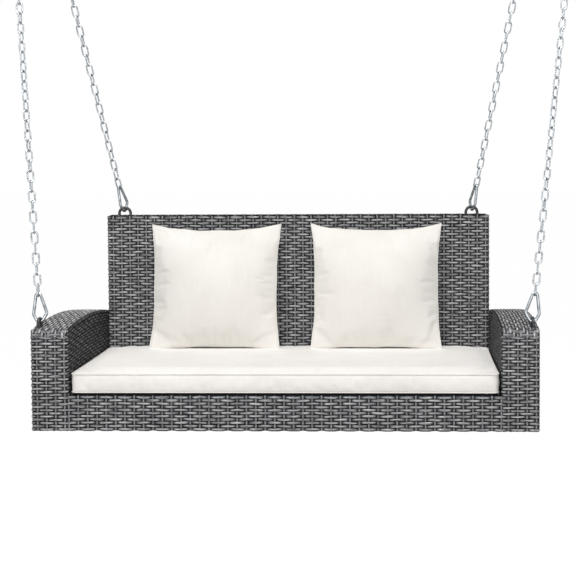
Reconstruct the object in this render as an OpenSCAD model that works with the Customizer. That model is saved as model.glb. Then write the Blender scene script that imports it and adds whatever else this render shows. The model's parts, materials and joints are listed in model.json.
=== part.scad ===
// Two-seat porch swing: a woven seat on welded steel frames, hung on four
// chains from four hangers that stand in one line on a beam or a ceiling.
// X runs along the seat, Y from the front to the back, Z upwards.
// The origin lies on the ceiling, midway between the hangers.

/* [Seat] */
// Clear width between the two arms
seat_w = 1080; // [900:10:1500]
// Depth from the front of the arms to the face of the backrest
seat_depth = 483; // [420:1:600]
// Height of the woven deck above the underside
deck_h = 97; // [85:1:140]
// Height of the backrest above the underside
back_h = 520; // [440:5:700]
// Width of one arm
arm_w = 95; // [80:1:140]
// Height of an arm at the crown of its arch
arm_crown_h = 268; // [220:1:330]
// Distance of the crown behind the front of the arm
arm_crown_y = 230; // [180:5:300]
// Radius of the arch of an arm
arm_arch_r = 2000; // [1200:50:4000]
// Radius of the arm's upper front and rear edges
arm_edge_r = 18; // [10:1:24]
// Gap between the seat or the backrest and an arm
side_gap = 1.5; // [1:0.5:4]
// Gap between the seat and the backrest
rear_gap = 4; // [2:0.5:8]
// Distance of the front apron behind the front of the arms
apron_inset = 4; // [2:1:12]

/* [Wicker] */
// Thickness of the woven skin
skin_t = 4; // [3:0.5:6]
// Gap between the skin and the tube that it is wound on
wound_gap = 0.2; // [0.1:0.1:0.5]

/* [Frame tubes] */
// Diameter of the arm tubes
arm_tube_d = 20; // [16:1:24]
// Diameter of the tube in an arm that the seat is bolted to
arm_rail_d = 18; // [14:0.5:23]
// Diameter of the backrest tubes
back_tube_d = 25; // [20:1:32]
// Diameter of the seat tubes
seat_tube_d = 22; // [18:1:28]
// Diameter of the rungs and struts that join the tubes
rung_d = 14; // [10:1:16]
// Wall of every tube
tube_wall = 1.2; // [1:0.1:2]
// Bend radius of the arms' and the seat's corners, at the middle of the tube
tight_bend_r = 14; // [12.5:0.5:20]
// Bend radius of the backrest's corners
wide_bend_r = 30; // [20:1:50]
// Number of cross tubes under the deck
cross_tubes = 3; // [2:1:5]

/* [Hanging loops] */
// Diameter of the loops' rod
loop_rod_d = 8; // [6:0.5:9]
// Radius of a loop at the middle of its rod
loop_r = 16; // [14:0.5:20]
// Height of a loop above the weave
loop_rise = 24; // [20:1:40]
// Distance of the front loops behind the front of the arms
front_loop_y = 46; // [46:1:120]
// Distance of the rear loops from the middle of the backrest
rear_loop_x = 491; // [300:1:500]

/* [Snap hooks] */
// Diameter of the hooks' wire
hook_wire_d = 8; // [6:0.5:8]
// Length of a hook between the wires of its two ends
hook_span = 72; // [66:1:84]
// Radius of the wide end that holds a loop or an eye
hook_wide_r = 10; // [8.5:0.5:10]
// Radius of the narrow end that holds the chain
hook_narrow_r = 6.5; // [5.5:0.5:7]
// Radius of the two shoulders
hook_shoulder_r = 7; // [6:0.5:9]
// Reach of the straight spine from the hook's line of pull
hook_spine_x = 15; // [13:0.5:18]
// Reach of the gate from the hook's line of pull
hook_gate_x = 18.5; // [17:0.5:22]
// Height of the shoulders above the wide end
hook_shoulder_z = 21; // [19:0.5:24]
// Diameter of the gate's pivot pin
pin_d = 3; // [2.5:0.25:3.5]
// Thickness of the tongues that the gate's forks hold
tongue_t = 3; // [2:0.25:3.5]
// Turn of the rear hooks out of the plane of the backrest
rear_hook_turn = 66; // [40:1:80]
// How far the slanting pull moves the front hooks' wire sideways from what it holds
front_hook_off = 1.1; // [0:0.1:2]
// How far the slanting pull moves the rear hooks' wire sideways from the eyes
rear_hook_off = 1.6; // [0:0.1:3]
// How far the slanting pull moves the rear hooks' wire behind their loops
rear_hook_back = 2; // [0:0.1:3]

/* [Chain] */
// Diameter of the chain's wire
link_wire_d = 4.5; // [3.5:0.25:5]
// Outside width of a link
link_w = 20; // [19:0.5:22]
// Pitch of the chain
link_pitch = 27.45; // [24:0.05:30]
// Number of links in each front chain
front_links = 32; // [26:1:60]
// Number of links in each rear chain
rear_links = 22; // [16:1:50]

/* [Hangers] */
// Distance of the front chains' hangers from the middle
front_hanger_x = 742; // [640:1:900]
// Distance of the rear chains' hangers from the middle
rear_hanger_x = 621; // [480:1:680]
// Width of a hanger's plate
plate_w = 40; // [30:1:60]
// Length of a hanger's plate
plate_l = 104; // [96:1:140]
// Thickness of a hanger's plate
plate_t = 5; // [4:0.5:8]
// Distance between the two screw holes of a hanger
screw_spacing = 76; // [68:1:110]
// Diameter of the screw holes
screw_hole_d = 8.5; // [5:0.5:11]
// Diameter of the eye's rod
eye_rod_d = 9; // [8:0.5:12]
// Radius of the eye at the middle of its rod
eye_r = 17; // [16:0.5:20]
// Depth of the middle of the eye's bend below the plate
eye_drop = 14; // [10:1:40]

/* [Bolts] */
// Diameter of every bolt
bolt_d = 6; // [5:1:6]
// Length of the bolts that pass through a tube
long_bolt = 50; // [50:1:54]
// Length of the bolts that hold the joining plates
short_bolt = 20; // [18:1:22]
// Diameter of a bolt's head
head_d = 10; // [9:0.5:11]
// Height of a bolt's head
head_h = 5; // [3:0.5:6]
// Width across the flats of a bolt's socket
socket_af = 5; // [3:0.5:5]
// Diameter of a washer
washer_d = 14; // [12:0.5:16]
// Thickness of a washer
washer_t = 1.6; // [1:0.1:2]
// Diameter of a threaded insert
insert_d = 9; // [8:0.5:9]
// Length of a threaded insert
insert_l = 12; // [10:0.5:13]
// Clearance around a bolt in a drilled hole, on the diameter
bolt_play = 0.8; // [0.4:0.1:1.2]
// Thickness of a joining plate
join_t = 3; // [2:0.5:4]
// Height of a joining plate
join_h = 25; // [20:1:40]
// Heights of the joining plates above the underside
join_z = [60, 205];

/* [Cushions] */
// Thickness of the seat cushion at its edge
cushion_t = 46; // [35:1:80]
// Rise of the cushion's middle above its edge
cushion_crown = 5; // [0:1:15]
// Gap between the cushion and an arm or the backrest
cushion_gap = 4; // [2:1:15]
// How far the cushion's sides draw in between the corners
cushion_draw = 3; // [0:1:8]
// Width of a back pillow, from corner to corner
pillow_w = 366; // [300:1:450]
// Height of a back pillow, from corner to corner
pillow_h = 356; // [300:1:420]
// Thickness of a back pillow in the middle
pillow_t = 118; // [80:1:150]
// How far a pillow's sides draw in between its corners
pillow_draw = 17; // [0:1:25]
// Lean of the pillows against the backrest, in degrees
pillow_lean = 12; // [6:1:20]
// Distance of the pillows from the middle of the seat
pillow_x = 223; // [200:1:300]
// Thickness of the cover and its wadding round a foam core or an insert
cover_t = 9; // [5:1:14]

/* [Fits] */
// Gap between pieces that touch without turning
slack = 0.2; // [0.1:0.05:0.3]
// Radial clearance of a gate on its pin
pin_play = 0.06; // [0.02:0.01:0.1]
// Gap between a gate's ends and the hook's wire
gate_gap = 0.6; // [0.4:0.1:1]
// Gap between soft pieces and what they rest on
soft_gap = 0.4; // [0.2:0.1:1]

/* [Hidden] */
$fn = 48;
LEFT = -1;
RIGHT = 1;
WIRE = "gainsboro";
STEEL = "dimgray";
WICKER = "gray";
FABRIC = "linen";

// ---- places worked out from the sizes above ----
wound = skin_t + wound_gap;
arm_in = wound + arm_tube_d / 2;
back_t = back_tube_d + 2 * wound;
arm_depth = seat_depth + back_t;
arm_x = seat_w / 2 + arm_w;
inner_loop_x = seat_w / 2 + arm_in;
outer_loop_x = arm_x - arm_in;
body_x = seat_w / 2 - side_gap;
back_in = wound + back_tube_d / 2;
back_y = seat_depth + back_in;
back_post_x = body_x - back_in;
seat_in = wound + seat_tube_d / 2;
seat_rear_y = seat_depth - rear_gap;
rail_z = deck_h - seat_in;
low_rail_z = seat_in;
side_rail_x = body_x - seat_in;
front_rail_y = apron_inset + seat_in;
rear_rail_y = seat_rear_y - seat_in;

// ---- the line of the hangers ----
// A run is two hooks and the links between their narrow ends. Seen from the
// side, the hangers lie where the front and the rear runs meet: where two
// circles round the feet of the runs cross.
hook_reach = loop_r - (loop_rod_d + hook_wire_d) / 2 - slack;
eye_reach = eye_r - (eye_rod_d + hook_wire_d) / 2 - slack;
link_in = link_pitch + slack;
link_seat = (link_in - hook_wire_d) / 2 - slack;
function run_length(links) = 2 * (hook_span + link_seat) + (links - 1) * link_pitch;
front_loop_z = arm_top(front_loop_y) + loop_rise - loop_r - loop_rod_d / 2;
rear_loop_z = back_h + loop_rise - loop_r - loop_rod_d / 2;
front_foot = [outer_loop_x - front_hook_off, front_loop_y, front_loop_z + hook_reach];
rear_foot = [rear_loop_x, back_y + rear_hook_back, rear_loop_z + hook_reach];
front_head_x = front_hanger_x + front_hook_off;
rear_head_x = rear_hanger_x + rear_hook_off;
axis_yz = crossing(side_of(front_foot), side_run(front_links, front_head_x - front_foot[0]),
                   side_of(rear_foot), side_run(rear_links, rear_head_x - rear_foot[0]));
front_head = [front_head_x, axis_yz[0], axis_yz[1]];
rear_head = [rear_head_x, axis_yz[0], axis_yz[1]];
ceiling_z = axis_yz[1] + eye_reach + eye_drop + plate_t;
function side_of(p) = [p[1], p[2]];
function side_run(links, dx) = sqrt(pow(run_length(links), 2) - dx * dx);
function crossing(a, ra, b, rb) =
    let (d = norm(b - a), e = (b - a) / d, along = (ra * ra - rb * rb + d * d) / (2 * d))
    a + along * e + sqrt(ra * ra - along * along) * [-e[1], e[0]];

// ---- outlines that go round circles, anticlockwise; each is [x, y, r] ----
// Direction of the outward normal of the straight from circle a to circle b
function leave(a, b) =
    let (dx = b[0] - a[0], dy = b[1] - a[1], d = norm([dx, dy]))
    atan2(dy, dx) - acos(max(-1, min(1, (a[2] - b[2]) / d)));
function on_circle(c, ang) = [c[0] + c[2] * cos(ang), c[1] + c[2] * sin(ang)];
function turn(from, to) = let (t = (to - from) % 360) t < 0 ? t + 360 : t;
function arc_steps(r, sweep) = max(1, ceil(sweep / (r > wide_arc_r ? 1.5 : 15)));
function outline(cs) = [
    for (i = [0:len(cs) - 1])
        let (c = cs[i], a = leave(cs[(i + len(cs) - 1) % len(cs)], c),
             sweep = turn(a, leave(c, cs[(i + 1) % len(cs)])), n = arc_steps(c[2], sweep))
        for (k = [0:n]) on_circle(c, a + sweep * k / n)
];

touching = 0.01;
module rod_leg(p, q, d) {
    if (norm(q - p) > touching)
        translate([p[0], p[1], 0]) rotate([0, 0, atan2(q[1] - p[1], q[0] - p[0])])
            rotate([0, 90, 0]) cylinder(d = d, h = norm(q - p));
}

wide_arc_r = 300;
module rod_bend(c, a, sweep, d, gap) {
    g = c[2] > 0 ? gap / c[2] * 180 / PI : 0;
    if (sweep > 0.01)
        translate([c[0], c[1], 0]) rotate([0, 0, a + g])
            rotate_extrude(angle = sweep - 2 * g, $fn = c[2] > wide_arc_r ? 720 : 64)
                translate([c[2], 0]) circle(d = d);
}

// A rod bent round circles; the first and the last of an open one are points.
// Collars bridge the hairline gaps left between the legs and slanting bends.
collar_gap = 0.05;
collar_over = 0.01;
collar_l = 0.4;
module collar(p, way, d) {
    translate([p[0], p[1], 0]) rotate([90, 0, way])
        cylinder(d = d * (1 + collar_over), h = collar_l, center = true);
}
module bent_rod(cs, d, closed = false, collars = false) {
    n = len(cs);
    for (i = [0:n - (closed ? 1 : 2)]) {
        next = cs[(i + 1) % n];
        way = leave(cs[i], next);
        p = on_circle(cs[i], way);
        q = on_circle(next, way);
        rod_leg(p, q, d);
        if (collars && next[2] > 0) collar(q, way, d);
        if (collars && cs[i][2] > 0 && norm(q - p) > touching) collar(p, way, d);
    }
    for (i = [(closed ? 0 : 1):n - (closed ? 1 : 2)]) {
        a = leave(cs[(i + n - 1) % n], cs[i]);
        b = leave(cs[i], cs[(i + 1) % n]);
        rod_bend(cs[i], a, turn(a, b), d, collars ? collar_gap : 0);
    }
}

module upright_along_y(x) { translate([x, 0, 0]) rotate([90, 0, 90]) children(); }
module upright_along_x(y) { translate([0, y, 0]) rotate([90, 0, 0]) children(); }
module bar_x(x0, x1, y, z, d) { translate([min(x0, x1), y, z]) rotate([0, 90, 0]) cylinder(d = d, h = abs(x1 - x0)); }
module bar_y(x, y0, y1, z, d) { translate([x, y0, z]) rotate([-90, 0, 0]) cylinder(d = d, h = y1 - y0); }
module bar_z(x, y, z0, z1, d) { translate([x, y, z0]) cylinder(d = d, h = z1 - z0); }
module hang() { translate([0, -axis_yz[0], -ceiling_z]) children(); }
module on_side(s) { if (s == LEFT) mirror([1, 0, 0]) children(); else children(); }
module both_sides() { children(); mirror([1, 0, 0]) children(); }
module box(lo, hi) { translate(lo) cube(hi - lo); }

// ---- hangers ----
module rounded_plate(w, l, t, r) {
    linear_extrude(t) {
        square([w - 2 * r, l], center = true);
        square([w, l - 2 * r], center = true);
        for (x = [-1, 1], y = [-1, 1]) translate([x * (w / 2 - r), y * (l / 2 - r)]) circle(r);
    }
}

module hanger(x) {
    weld = 1;
    color(STEEL) translate([x, axis_yz[0], ceiling_z]) difference() {
        union() {
            translate([0, 0, -plate_t]) rounded_plate(plate_w, plate_l, plate_t, 6);
            upright_along_y(0) bent_rod([[-eye_r, weld - plate_t, 0], [0, -plate_t - eye_drop, eye_r],
                                         [eye_r, weld - plate_t, 0]], eye_rod_d);
        }
        for (y = [-1, 1]) translate([0, y * screw_spacing / 2, -plate_t - 1])
            cylinder(d = screw_hole_d, h = plate_t + 2);
    }
}

// ---- runs of chain: local Z goes from the foot of a run to its head ----
module along(foot, head) {
    v = head - foot;
    heading = atan2(v[1], v[0]);
    translate(foot) rotate([0, acos(v[2] / norm(v)), heading]) rotate([0, 0, -heading]) children();
}

module lower_end(rear, side) {
    along(foot_of(rear, side), head_of(rear, side)) rotate([0, 0, side * hook_turn(rear) + facing(side)]) children();
}
module upper_end(rear, side) {
    along(foot_of(rear, side), head_of(rear, side)) translate([0, 0, run_length(links_of(rear))])
        rotate([180, 0, facing(side)]) children();
}
function on_the(side, p) = [side * p[0], p[1], p[2]];
function foot_of(rear, side) = on_the(side, rear ? rear_foot : front_foot);
function head_of(rear, side) = on_the(side, rear ? rear_head : front_head);
function links_of(rear) = rear ? rear_links : front_links;
function hook_turn(rear) = rear ? -rear_hook_turn : 0;
function facing(side) = side == LEFT ? 180 : 0;

module link() {
    r = (link_w - link_wire_d) / 2;
    h = (link_in + link_wire_d) / 2 - r;
    rotate([90, 0, 0]) bent_rod([[0, -h, r], [0, h, r]], link_wire_d, closed = true);
}

// The first and the last link stand square to their hooks; what is left of
// the quarter turns from link to link is spread along the run.
module chain(rear, side) {
    n = links_of(rear);
    spare = turn(0, 270 - hook_turn(rear) - 90 * n + 90) % 180 - 90;
    color(WIRE) along(foot_of(rear, side), head_of(rear, side)) for (i = [0:n - 1])
        translate([0, 0, hook_span + link_seat + i * link_pitch])
            rotate([0, 0, side * (90 + hook_turn(rear) + i * (90 + spare / (n - 1)))]) link();
}

// ---- snap hooks: the gate closes the side away from the spine ----
wide_end = [0, hook_wide_r, hook_wide_r];
spine_shoulder = [hook_spine_x - hook_shoulder_r, hook_shoulder_z, hook_shoulder_r];
narrow_end = [0, hook_span - hook_narrow_r, hook_narrow_r];
gate_shoulder = [hook_shoulder_r - hook_gate_x, hook_shoulder_z, hook_shoulder_r];
gate_side = leave(narrow_end, gate_shoulder);
gate_top = on_circle(narrow_end, gate_side);
gate_foot = on_circle(gate_shoulder, gate_side);
gate_side_l = norm(gate_foot - gate_top);
stub_l = 1.5;
tongue_w = hook_wire_d - 1.6;
tongue_l = 5;
pin_at = stub_l + gate_gap + hook_wire_d / 2;
gate_l = gate_side_l - stub_l - gate_gap - pin_at;
head_play = 0.3;

// Local X runs down the gate's side from the narrow end, local Z along the pin
module at_gate() {
    rotate([90, 0, 0]) translate([gate_top[0], gate_top[1], 0])
        rotate([0, 0, atan2(gate_foot[1] - gate_top[1], gate_foot[0] - gate_top[0])]) children();
}

module tongue(x0, x1, end_r) {
    translate([0, 0, -tongue_t / 2]) linear_extrude(tongue_t) {
        translate([x0, -tongue_w / 2]) square([x1 - x0, tongue_w]);
        translate([x1, 0]) circle(end_r);
    }
}

module hook_body() {
    s = gate_top + (gate_foot - gate_top) * stub_l / gate_side_l;
    e = gate_foot + (gate_top - gate_foot) * stub_l / gate_side_l;
    color(WIRE) difference() {
        union() {
            rotate([90, 0, 0]) bent_rod([[e[0], e[1], 0], gate_shoulder, wide_end, spine_shoulder,
                                         narrow_end, [s[0], s[1], 0]], hook_wire_d, collars = true);
            at_gate() tongue(stub_l - 1, pin_at, tongue_w / 2);
            at_gate() translate([gate_side_l, 0, 0]) rotate([0, 0, 180])
                tongue(stub_l - 1, stub_l + tongue_l - tongue_w / 2, tongue_w / 2);
        }
        at_gate() translate([pin_at, 0, -tongue_t]) cylinder(d = pin_d, h = 2 * tongue_t);
    }
}

module hook_gate() {
    slot = tongue_t + 2 * slack;
    color(WIRE) at_gate() translate([pin_at, 0, 0]) difference() {
        union() {
            rotate([0, 90, 0]) cylinder(d = hook_wire_d, h = gate_l);
            intersection() {
                cylinder(d = hook_wire_d, h = hook_wire_d, center = true);
                rotate([0, 90, 0]) cylinder(d = hook_wire_d, h = 2 * hook_wire_d, center = true);
            }
        }
        translate([-hook_wire_d, -hook_wire_d, -slot / 2])
            cube([hook_wire_d + tongue_w / 2 + 0.8, 2 * hook_wire_d, slot]);
        translate([gate_l + gate_gap - tongue_l - 0.8, -hook_wire_d, -slot / 2])
            cube([2 * tongue_l, 2 * hook_wire_d, slot]);
        translate([0, 0, -hook_wire_d]) cylinder(r = pin_d / 2 + pin_play, h = 2 * hook_wire_d);
    }
}

module gate_pin() {
    color(WIRE) at_gate() translate([pin_at, 0, 0])
        cylinder(d = pin_d, h = hook_wire_d + 2 * head_play, center = true);
}

module gate_pins() {
    for (rear = [false, true], side = [LEFT, RIGHT]) {
        lower_end(rear, side) gate_pin();
        upper_end(rear, side) gate_pin();
    }
}

// ---- loops welded to the frames ----
module loop(z, foot_near, foot_far) {
    color(STEEL) bent_rod([[loop_r, foot_near, 0], [0, z, loop_r], [-loop_r, foot_far, 0]], loop_rod_d, collars = true);
}

module arm_loop() {
    weld = 1;
    upright_along_y(outer_loop_x) translate([front_loop_y, 0])
        loop(front_loop_z, arm_top(front_loop_y + loop_r, wound) - weld,
             arm_top(front_loop_y - loop_r, wound) - weld);
}

module back_loop() {
    weld = 1;
    upright_along_x(back_y) translate([rear_loop_x, 0])
        loop(rear_loop_z, back_h - wound - weld, back_h - wound - weld);
}

// ---- frames: each is drawn once solid and once as its bore ----
function arm_top(y, inset = 0) =
    arm_crown_h - arm_arch_r + sqrt(pow(arm_arch_r - inset, 2) - pow(y - arm_crown_y, 2));
// Side view of an arm, inset by so much, with these lower and upper corners
function arm_side(inset, low_r, top_r) = [
    [inset + low_r, inset + low_r, low_r],
    [arm_depth - inset - low_r, inset + low_r, low_r],
    arm_corner(arm_depth - inset - top_r, inset, top_r),
    [arm_crown_y, arm_crown_h - arm_arch_r, arm_arch_r - inset],
    arm_corner(inset + top_r, inset, top_r)
];
function arm_corner(y, inset, r) = [y, arm_top(y, inset + r), r];
function frame_corners(x, z0, z1, r) =
    [[-x + r, z0 + r, r], [x - r, z0 + r, r], [x - r, z1 - r, r], [-x + r, z1 - r, r]];

arm_rungs = [for (y = [60, arm_depth - 60]) [y, arm_in], for (y = [75, arm_crown_y, arm_depth - 75]) [y, arm_top(y, arm_in)]];
post_rung_z = 130;
seat_bolt_y = [100, seat_depth - 90];
back_bolt_x = [130, 390];

module arm_bars(side, shrink) {
    d = arm_tube_d - 2 * shrink;
    inner = side * inner_loop_x;
    outer = side * outer_loop_x;
    for (x = [inner, outer])
        upright_along_y(x) bent_rod(arm_side(arm_in, tight_bend_r, tight_bend_r), d, closed = true, collars = true);
    bar_y(inner, arm_in, arm_depth - arm_in, rail_z, arm_rail_d - 2 * shrink);
    for (r = arm_rungs) bar_x(inner, outer, r[0], r[1], rung_d - 2 * shrink);
    for (y = [arm_in, arm_depth - arm_in]) bar_x(inner, outer, y, post_rung_z, rung_d - 2 * shrink);
}

module arm_frame(side) {
    inner = side * inner_loop_x;
    color(STEEL) difference() {
        arm_bars(side, 0);
        arm_bars(side, tube_wall);
        for (y = seat_bolt_y) bar_x(inner - side * arm_tube_d, inner, y, rail_z, insert_d);
        for (z = join_z) bar_y(inner, arm_depth - arm_in, arm_depth, z, insert_d);
    }
}

stile_x = [-260, 0, 260];
module back_bars(shrink) {
    d = back_tube_d - 2 * shrink;
    upright_along_x(back_y) bent_rod(frame_corners(back_post_x, back_in, back_h - back_in, wide_bend_r), d, closed = true);
    bar_x(-back_post_x, back_post_x, back_y, rail_z, d);
    for (x = stile_x) bar_z(x, back_y, rail_z, back_h - back_in, rung_d - 2 * shrink);
}

module back_frame() {
    color(STEEL) difference() {
        back_bars(0);
        back_bars(tube_wall);
        for (x = back_bolt_x) both_sides() bar_y(x, seat_depth, back_y, rail_z, insert_d);
        for (z = join_z) both_sides() bar_y(back_post_x, back_y, arm_depth, z, insert_d);
    }
}

module seat_bars(shrink) {
    d = seat_tube_d - 2 * shrink;
    foot_x = side_rail_x - tight_bend_r;
    translate([0, 0, rail_z]) bent_rod([for (x = [-1, 1]) [x * foot_x, front_rail_y + tight_bend_r, tight_bend_r],
                                        for (x = [1, -1]) [x * foot_x, rear_rail_y - tight_bend_r, tight_bend_r]],
                                       d, closed = true);
    upright_along_x(front_rail_y) bent_rod([[-foot_x, rail_z, 0], [tight_bend_r - foot_x, low_rail_z + tight_bend_r, tight_bend_r],
                                            [foot_x - tight_bend_r, low_rail_z + tight_bend_r, tight_bend_r], [foot_x, rail_z, 0]], d);
    for (i = [1:cross_tubes]) {
        x = side_rail_x * (2 * i / (cross_tubes + 1) - 1);
        bar_y(x, front_rail_y, rear_rail_y, rail_z, rung_d - 2 * shrink);
        bar_z(x, front_rail_y, low_rail_z, rail_z, rung_d - 2 * shrink);
    }
}

module seat_frame() {
    color(STEEL) difference() {
        seat_bars(0);
        seat_bars(tube_wall);
        for (y = seat_bolt_y) both_sides()
            bar_x(side_rail_x - seat_tube_d, body_x, y, rail_z, bolt_d + bolt_play);
        for (x = back_bolt_x) both_sides()
            bar_y(x, rear_rail_y - seat_tube_d, seat_rear_y, rail_z, bolt_d + bolt_play);
    }
}

// ---- woven skins ----
low_edge_r = 7;
module arm_block(inset) {
    upright_along_y(seat_w / 2 + inset)
        linear_extrude(arm_w - 2 * inset)
            polygon(outline(arm_side(inset, low_edge_r - inset, arm_edge_r - inset)));
}

module loop_leg_holes(z) { for (p = [-loop_r, loop_r]) translate([p, 0, z]) cylinder(d = loop_rod_d + 2 * slack, h = 100); }

module arm_wicker() {
    color(WICKER) difference() {
        arm_block(0);
        arm_block(skin_t);
        translate([outer_loop_x, front_loop_y, 0]) rotate([0, 0, 90]) loop_leg_holes(arm_top(0) - arm_edge_r);
        for (y = seat_bolt_y) bar_x(0, seat_w / 2 + 2 * skin_t, y, rail_z, bolt_d + bolt_play);
        for (z = join_z) bar_y(inner_loop_x, arm_depth - 2 * skin_t, arm_depth + 1, z, bolt_d + bolt_play);
    }
}

back_edge_r = 10;
module back_block(inset) {
    upright_along_x(arm_depth - inset) linear_extrude(back_t - 2 * inset)
        polygon(outline(frame_corners(body_x - inset, inset, back_h - inset, back_edge_r - inset)));
}

module back_wicker() {
    color(WICKER) difference() {
        back_block(0);
        back_block(skin_t);
        both_sides() translate([rear_loop_x, back_y, 0]) loop_leg_holes(back_h - back_in);
        for (x = back_bolt_x) both_sides() bar_y(x, 0, seat_depth + 2 * skin_t, rail_z, bolt_d + bolt_play);
        for (z = join_z) both_sides()
            bar_y(back_post_x, arm_depth - 2 * skin_t, arm_depth + 1, z, bolt_d + bolt_play);
    }
}

module seat_deck_wicker() {
    low = rail_z - seat_tube_d / 2;
    color(WICKER) difference() {
        box([-body_x, apron_inset, low], [body_x, seat_rear_y, deck_h]);
        box([skin_t - body_x, apron_inset - 1, low - 1], [body_x - skin_t, seat_rear_y - skin_t, deck_h - skin_t]);
        box([-arm_x, apron_inset - 1, low - 1], [arm_x, apron_inset + skin_t + slack, deck_h - skin_t]);
        for (y = seat_bolt_y) bar_x(-arm_x, arm_x, y, rail_z, bolt_d + bolt_play);
        for (x = back_bolt_x) both_sides() bar_y(x, rear_rail_y, seat_depth, rail_z, bolt_d + bolt_play);
    }
}

// The apron goes down the front and once round the low rail
module front_apron_wicker() {
    wrap = seat_tube_d + 2 * wound;
    top = deck_h - skin_t - slack;
    lip_top = low_rail_z + seat_tube_d / 4;
    color(WICKER) {
        difference() {
            box([-body_x, apron_inset, 0], [body_x, apron_inset + wrap, top]);
            box([-arm_x, apron_inset + skin_t, skin_t], [arm_x, apron_inset + wrap - skin_t, top + 1]);
            box([-arm_x, apron_inset + wrap / 2, lip_top], [arm_x, apron_inset + 2 * wrap, top + 1]);
        }
    }
}

// ---- bolts, washers, inserts and joining plates ----
// A bolt points along local Z; its head sits below the local origin
module bolt(l) {
    color(WIRE) difference() {
        union() {
            translate([0, 0, -head_h]) cylinder(d = head_d, h = head_h);
            cylinder(d = bolt_d, h = l);
        }
        translate([0, 0, -head_h - 1]) cylinder(d = socket_af / cos(30), h = head_h / 2 + 1, $fn = 6);
    }
}

module washer() {
    color(WIRE) translate([0, 0, -washer_t]) difference() {
        cylinder(d = washer_d, h = washer_t - slack);
        translate([0, 0, -1]) cylinder(d = bolt_d + bolt_play, h = washer_t + 2);
    }
}

module insert() {
    color(WIRE) difference() {
        cylinder(d = insert_d, h = insert_l);
        translate([0, 0, -1]) cylinder(d = bolt_d + slack, h = insert_l + 2);
    }
}

seat_tube_in = seat_tube_d / 2 + slack;
module at_arm_joints(x) { for (y = seat_bolt_y) both_sides() translate([x, y, rail_z]) rotate([0, 90, 0]) children(); }
module at_back_joints(y) { for (x = back_bolt_x) both_sides() translate([x, y, rail_z]) rotate([-90, 0, 0]) children(); }
module at_join_bolts(y) {
    for (x = [back_post_x, inner_loop_x], z = join_z) both_sides() translate([x, y, z]) rotate([90, 0, 0]) children();
}
join_y = arm_depth + slack;
join_face_y = join_y + join_t + slack;

module seat_to_arm_bolts() { at_arm_joints(side_rail_x - seat_tube_in - washer_t) bolt(long_bolt); }
module seat_to_back_bolts() { at_back_joints(rear_rail_y - seat_tube_in - washer_t) bolt(long_bolt); }
module joining_plate_bolts() { at_join_bolts(join_face_y + washer_t) bolt(short_bolt); }
module bolt_washers() {
    at_arm_joints(side_rail_x - seat_tube_in) washer();
    at_back_joints(rear_rail_y - seat_tube_in) washer();
    at_join_bolts(join_face_y) washer();
}
module threaded_inserts() {
    at_arm_joints(inner_loop_x - arm_rail_d / 2) insert();
    at_back_joints(back_y - back_tube_d / 2) insert();
    at_join_bolts(arm_depth - wound) insert();
}
module joining_plates() {
    mid = (back_post_x + inner_loop_x) / 2;
    hole_x = (inner_loop_x - back_post_x) / 2;
    color(STEEL) for (z = join_z) both_sides() translate([mid, join_y + join_t, z]) rotate([90, 0, 0]) difference() {
        rounded_plate(2 * hole_x + join_h, join_h, join_t, 5);
        for (x = [-hole_x, hole_x]) translate([x, 0, -1]) cylinder(d = bolt_d + bolt_play, h = join_t + 2);
    }
}

// ---- cushions ----
// Rows of points that crowd towards the edges
function spread(i, n) = sin(90 * i / n);
function flip(tri) = [tri[2], tri[1], tri[0]];
function grid_faces(nu, nv, first) = [
    for (i = [0:nu - 1], j = [0:nv - 1])
        let (a = first + i * (nv + 1) + j, b = a + nv + 1)
        each [[a, b, b + 1], [a, b + 1, a + 1]]
];
// Indices of a grid's rim, once round
function rim(nu, nv, first) = [
    for (i = [0:nu - 1]) first + i * (nv + 1),
    for (j = [0:nv - 1]) first + nu * (nv + 1) + j,
    for (i = [nu:-1:1]) first + i * (nv + 1) + nv,
    for (j = [nv:-1:1]) first + j
];
function band(p, q) = [
    for (k = [0:len(p) - 1]) let (m = (k + 1) % len(p))
        each [[p[k], p[m], q[m]], [p[k], q[m], q[k]]]
];

// A boxed cushion with crowned faces, on its lower face's middle
module boxed_cushion(w, d, t, crown, draw, nu, nv) {
    soft_edge = 5;
    side_bulge = 1.5;
    function spot(i, j, sx, z) =
        let (u = spread(i, nu), v = spread(j, nv), side = draw - sx)
        [u * (w / 2 - side * (1 - v * v)) , v * (d / 2 - side * (1 - u * u)), z];
    function lift(i, j) = abs(i) == nu || abs(j) == nv ? -soft_edge
        : crown * (1 - pow(spread(i, nu), 4)) * (1 - pow(spread(j, nv), 4));
    top = [for (i = [-nu:nu], j = [-nv:nv]) spot(i, j, 0, t + lift(i, j))];
    low = [for (i = [-nu:nu], j = [-nv:nv]) spot(i, j, 0, abs(i) == nu || abs(j) == nv ? soft_edge : 0)];
    rim_top = rim(2 * nu, 2 * nv, 0);
    rim_low = rim(2 * nu, 2 * nv, len(top));
    waist_first = 2 * len(top);
    waist = [for (k = rim_top) let (p = top[k])
        [p[0] * (1 + 2 * side_bulge / w), p[1] * (1 + 2 * side_bulge / d), t / 2]];
    rim_waist = [for (k = [0:len(waist) - 1]) waist_first + k];
    polyhedron(concat(top, low, waist), concat(
        [for (f = grid_faces(2 * nu, 2 * nv, 0)) flip(f)],
        grid_faces(2 * nu, 2 * nv, len(top)),
        [for (f = band(rim_top, rim_waist)) f],
        [for (f = band(rim_waist, rim_low)) f]));
}

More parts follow.
